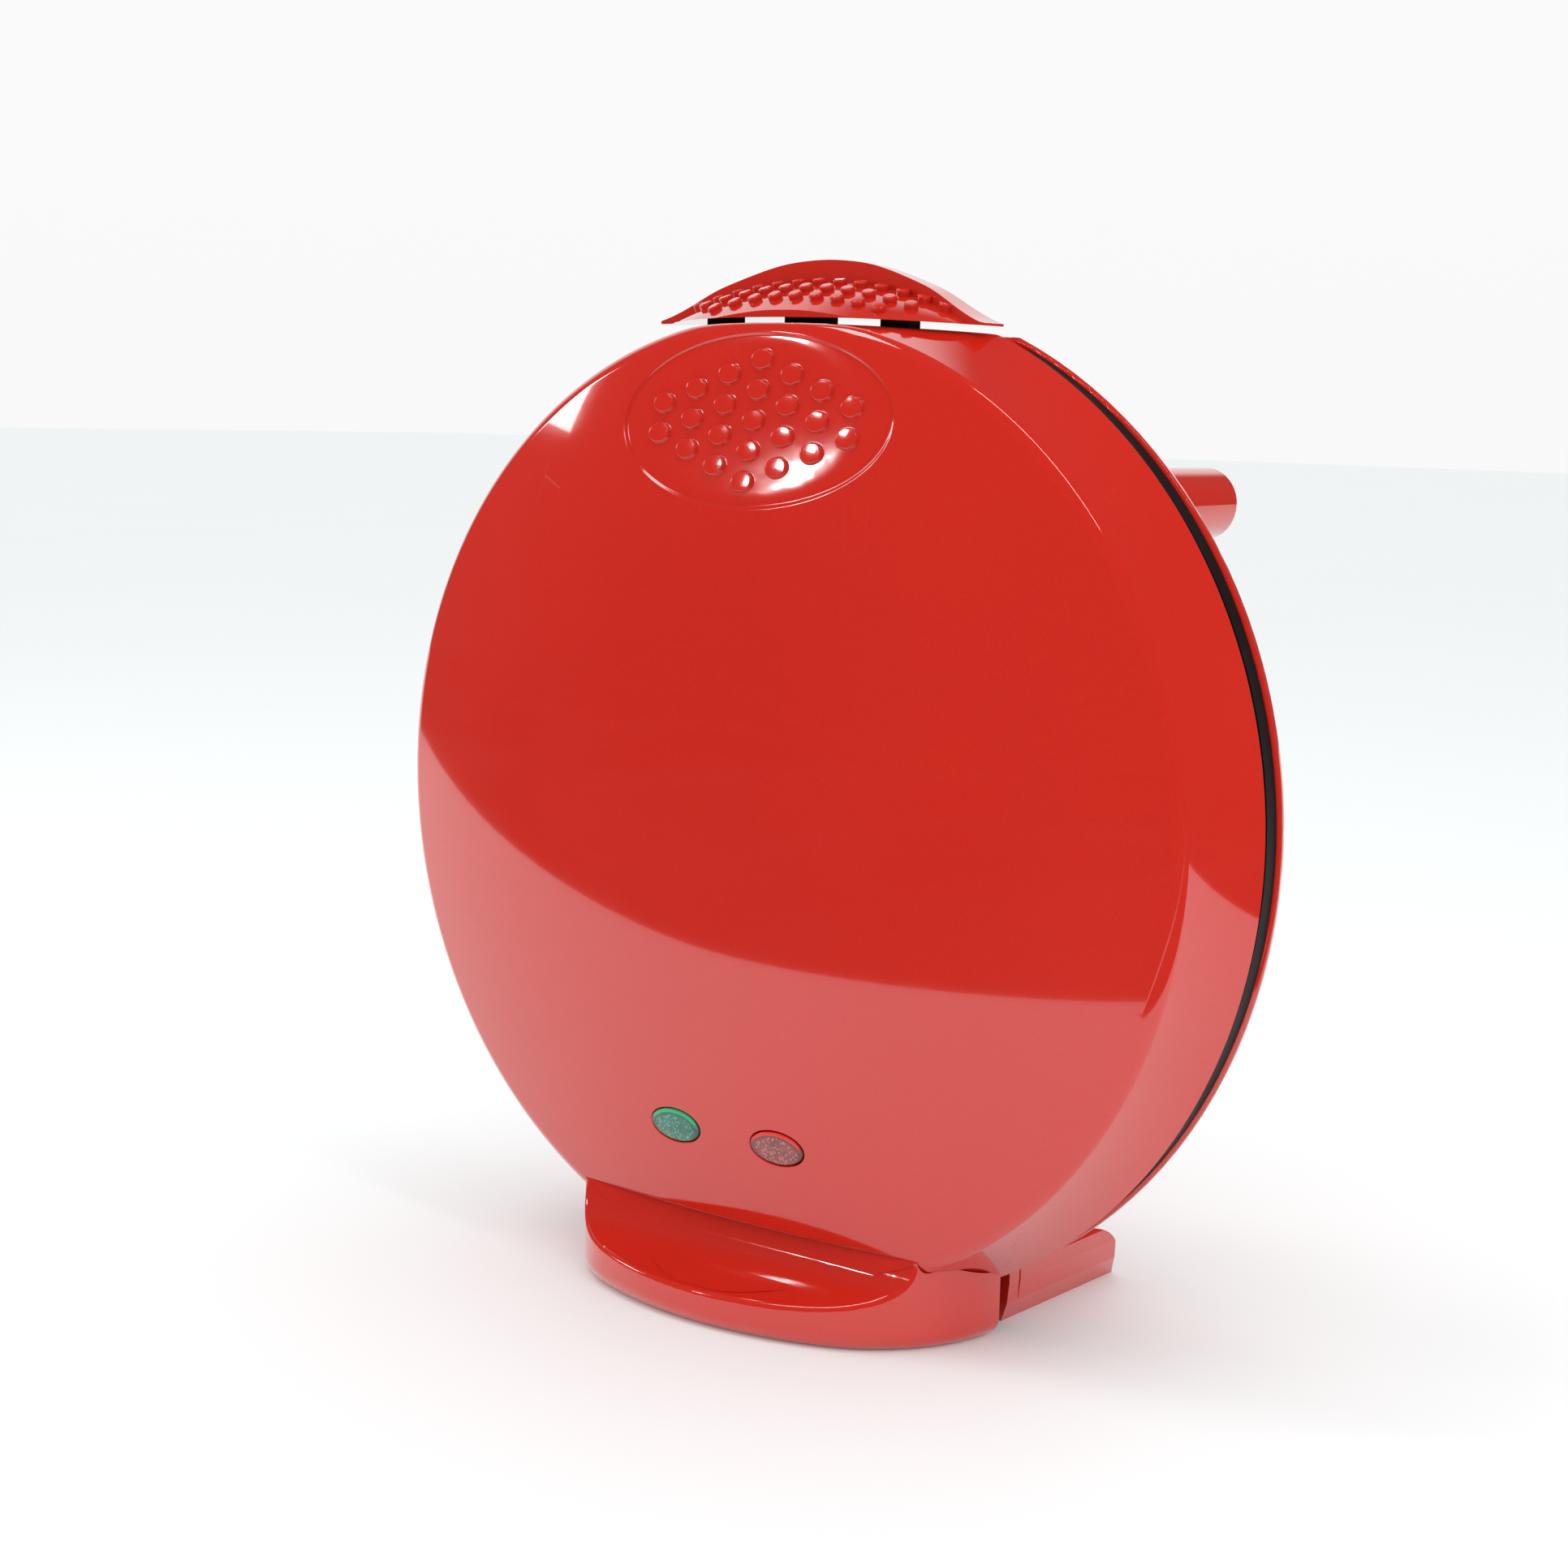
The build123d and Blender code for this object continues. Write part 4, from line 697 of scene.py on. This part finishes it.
# ------------------------------------------------------------------ grip buttons on the handle
def grip_buttons():
    """Three rows of short drums with rounded top edges, each square to the shelf it stands on."""
    skin = Skin()
    t = np.linspace(0, 2 * math.pi, 33)
    turn = np.linspace(0, math.pi / 2, 7)
    profile = [(2.02, -0.9, 1.0, 0.0)] + [(1.32 + 0.70 * math.cos(a), 0.94 + 0.70 * math.sin(a), math.cos(a), math.sin(a)) for a in turn]
    profile += [(0.7, 1.66, 0.04, 1.0), (0.0, 1.67, 0.0, 1.0)]
    for d0, n, h0, sag, rise in ((12.2, 4, 144.0, 0.0043, 0.54), (17.0, 5, 146.3, 0.0038, 0.39), (23.0, 6, 148.2, 0.0036, 0.22)):
        for k in range(-n, n + 1):
            x = k * 7.25
            up = np.array([2 * sag * x, -rise, 1.0])
            up /= np.linalg.norm(up)
            u = np.cross(up, [0.0, 1.0, 0.0])
            u /= np.linalg.norm(u)
            v = np.cross(up, u)
            foot = np.array([x, d0, h0 - sag * x * x])
            around = np.cos(t)[:, None] * u + np.sin(t)[:, None] * v
            rows = np.array([foot + r * around + z * up for r, z, _, _ in profile])
            norms = np.array([a * around + b * up for _, _, a, b in profile])
            skin.grid(rows, norms / np.linalg.norm(norms, axis=2)[:, :, None])
            base = np.array([rows[0], np.broadcast_to(foot - 0.9 * up, rows[0].shape)])
            skin.grid(base, np.broadcast_to(-up, base.shape))
    obj = skin.build("grip_buttons")
    obj.data.materials.append(MATERIALS["red_shell"])
    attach(obj, "lid")


grip_buttons()


# ------------------------------------------------------------------ floor, light, camera
def sheet(name, corners, material):
    mesh = bpy.data.meshes.new(name)
    mesh.from_pydata(corners, [], [(0, 1, 2, 3)])
    obj = bpy.data.objects.new(name, mesh)
    mesh.materials.append(material)
    collection.objects.link(obj)
    return obj


def floor_material():
    t = Tree("floor_white")
    mottle = t.noise(3.0, 3.0)
    colour = t.ramp(mottle, (0.3, (0.874, 0.899, 0.899)), (0.7, (0.884, 0.909, 0.909)))
    t.set(Base_Color=colour, Roughness=0.6, Specular_IOR_Level=0.2, Emission_Color=(0.85, 1.0, 1.0, 1.0), Emission_Strength=0.045)
    return t.material


def apron_material():
    t = Tree("dark_room")
    mottle = t.noise(1.5, 3.0)
    t.set(Base_Color=t.ramp(mottle, (0.3, (0.05, 0.05, 0.05)), (0.7, (0.09, 0.09, 0.09))), Roughness=0.9, Specular_IOR_Level=0.0)
    return t.material


far = 14.0
floor = sheet("floor", [(-far, -far, 0), (far, -far, 0), (far, far, 0), (-far, far, 0)], floor_material())
# past the table's front and right edges the room is dark: only reflections see this
dark_room = apron_material()
for name, corners in (
    ("apron_front", [(-far, -0.351, 0.0006), (-far, -far, 0.0006), (far, -far, 0.0006), (far, -0.30, 0.0006)]),
    ("apron_right", [(0.133, -0.3015, 0.0009), (far, -0.3015, 0.0009), (far, 14.45, 0.0009), (7.07, 7.078, 0.0009)]),
):
    apron = sheet(name, corners, dark_room)
    apron.visible_camera = False
    apron.visible_diffuse = False
    apron.visible_shadow = False
    apron.visible_transmission = False

world = bpy.data.worlds.new("room")
scene.world = world
world.use_nodes = True
wn, wl = world.node_tree.nodes, world.node_tree.links
wn.clear()
w_out = wn.new("ShaderNodeOutputWorld")
path = wn.new("ShaderNodeLightPath")
pale = wn.new("ShaderNodeBackground")
pale.inputs[1].default_value = 1.0
soft = wn.new("ShaderNodeBackground")
soft.inputs[0].default_value = (1.0, 1.0, 1.0, 1)
soft.inputs[1].default_value = 1.0
dark = wn.new("ShaderNodeBackground")
dark.inputs[1].default_value = 1.0


def world_ramp(value, start, end, *stops):
    """Colour by one measure of the direction into the room."""
    m = wn.new("ShaderNodeMapRange")
    m.inputs[1].default_value, m.inputs[2].default_value = start, end
    wl.new(value, m.inputs[0])
    r = wn.new("ShaderNodeValToRGB")
    r.color_ramp.interpolation = "EASE"
    els = r.color_ramp.elements
    while len(els) < len(stops):
        els.new(0.5)
    for el, (pos, v) in zip(els, stops):
        el.position, el.color = pos, (v, v, v, 1)
    wl.new(m.outputs[0], r.inputs[0])
    return r.outputs[0]


towards = wn.new("ShaderNodeTexCoord")
split = wn.new("ShaderNodeSeparateXYZ")
wl.new(towards.outputs["Generated"], split.inputs[0])
# the sheet behind the object sweeps up from the floor
wl.new(world_ramp(split.outputs[2], 0.0, 0.4, (0.0, 0.948), (0.35, 0.957), (1.0, 0.958)), pale.inputs[0])
# reflections see a pale backdrop behind and above the object, and a dim room in front of it
lifted = wn.new("ShaderNodeMath")
lifted.operation = "MULTIPLY_ADD"
wl.new(split.outputs[2], lifted.inputs[0])
lifted.inputs[1].default_value = 0.5
wl.new(split.outputs[1], lifted.inputs[2])
leaned = wn.new("ShaderNodeMath")
leaned.operation = "MULTIPLY_ADD"
wl.new(split.outputs[0], leaned.inputs[0])
leaned.inputs[1].default_value = -1.0
wl.new(lifted.outputs[0], leaned.inputs[2])
wl.new(world_ramp(leaned.outputs[0], 0.0, 2.0, (0.0, 0.07), (0.57, 0.09), (0.67, 0.92), (1.0, 1.0)), dark.inputs[0])
mix_a, mix_b = wn.new("ShaderNodeMixShader"), wn.new("ShaderNodeMixShader")
wl.new(path.outputs["Is Glossy Ray"], mix_a.inputs[0])
wl.new(soft.outputs[0], mix_a.inputs[1])
wl.new(dark.outputs[0], mix_a.inputs[2])
wl.new(path.outputs["Is Camera Ray"], mix_b.inputs[0])
wl.new(mix_a.outputs[0], mix_b.inputs[1])
wl.new(pale.outputs[0], mix_b.inputs[2])
wl.new(mix_b.outputs[0], w_out.inputs[0])


def area(name, location, target, size_x, size_y, radiance, glossy=True, colour=(1, 1, 1)):
    data = bpy.data.lights.new(name, "AREA")
    data.shape = "RECTANGLE"
    data.size, data.size_y = size_x, size_y
    data.energy = radiance * math.pi * size_x * size_y
    data.color = colour
    obj = bpy.data.objects.new(name, data)
    collection.objects.link(obj)
    obj.location = location
    obj.rotation_mode = "QUATERNION"
    obj.rotation_quaternion = (Vector(target) - Vector(location)).to_track_quat("-Z", "Y")
    obj.visible_glossy = glossy
    return obj


pad = Vector((0.0, -0.042, 0.252))
area("key_softbox", pad + 1.6 * Vector((-0.581, -0.69, 0.405)).normalized(), pad, 0.075, 0.095, 34.0)
area("left_softbox", pad + 1.6 * Vector((-0.89, -0.34, 0.32)).normalized(), pad, 0.26, 0.22, 9.0)
area("crown_softbox", (-0.55, -0.30, 1.60), (0.0, 0.0, 0.25), 0.35, 0.30, 5.0)
area("right_fill", (1.5, 0.1, 0.9), (0.1, 0.0, 0.2), 1.0, 1.0, 1.1, glossy=False)
area("front_fill", (0.9, -1.7, 1.3), (0.0, 0.0, 0.15), 1.2, 1.2, 0.6, glossy=False)

# long strip over the right of the object
start, end = pad + 1.5 * Vector((0.05, -0.06, 0.99)).normalized(), pad + 1.5 * Vector((0.62, -0.22, 0.76)).normalized()
strip = area("strip_light", (start + end) / 2, pad, (end - start).length, 0.06, 9.0)
along = (end - start).normalized()
facing = ((start + end) / 2 - pad).normalized()
facing = (facing - facing.dot(along) * along).normalized()
strip.rotation_quaternion = Matrix((along, facing.cross(along), facing)).transposed().to_quaternion()

camera_data = bpy.data.cameras.new("view")
camera_data.sensor_width = 36.0
camera_data.lens = 62.569
camera_data.clip_start, camera_data.clip_end = 0.01, 60.0
camera = bpy.data.objects.new("view", camera_data)
collection.objects.link(camera)
right = Vector((0.78772893, 0.61549355, 0.0255114))
up = Vector((-0.10449769, 0.09269727, 0.99019566))
ahead = Vector((-0.6070942, 0.78267165, -0.13733797))
m = Matrix((right, up, -ahead)).transposed().to_4x4()
m.translation = Vector((0.475507, -0.637172, 0.259223))
camera.matrix_world = m
scene.camera = camera
scene.view_settings.view_transform = "Standard"
scene.view_settings.look = "None"

bpy.context.view_layer.update()
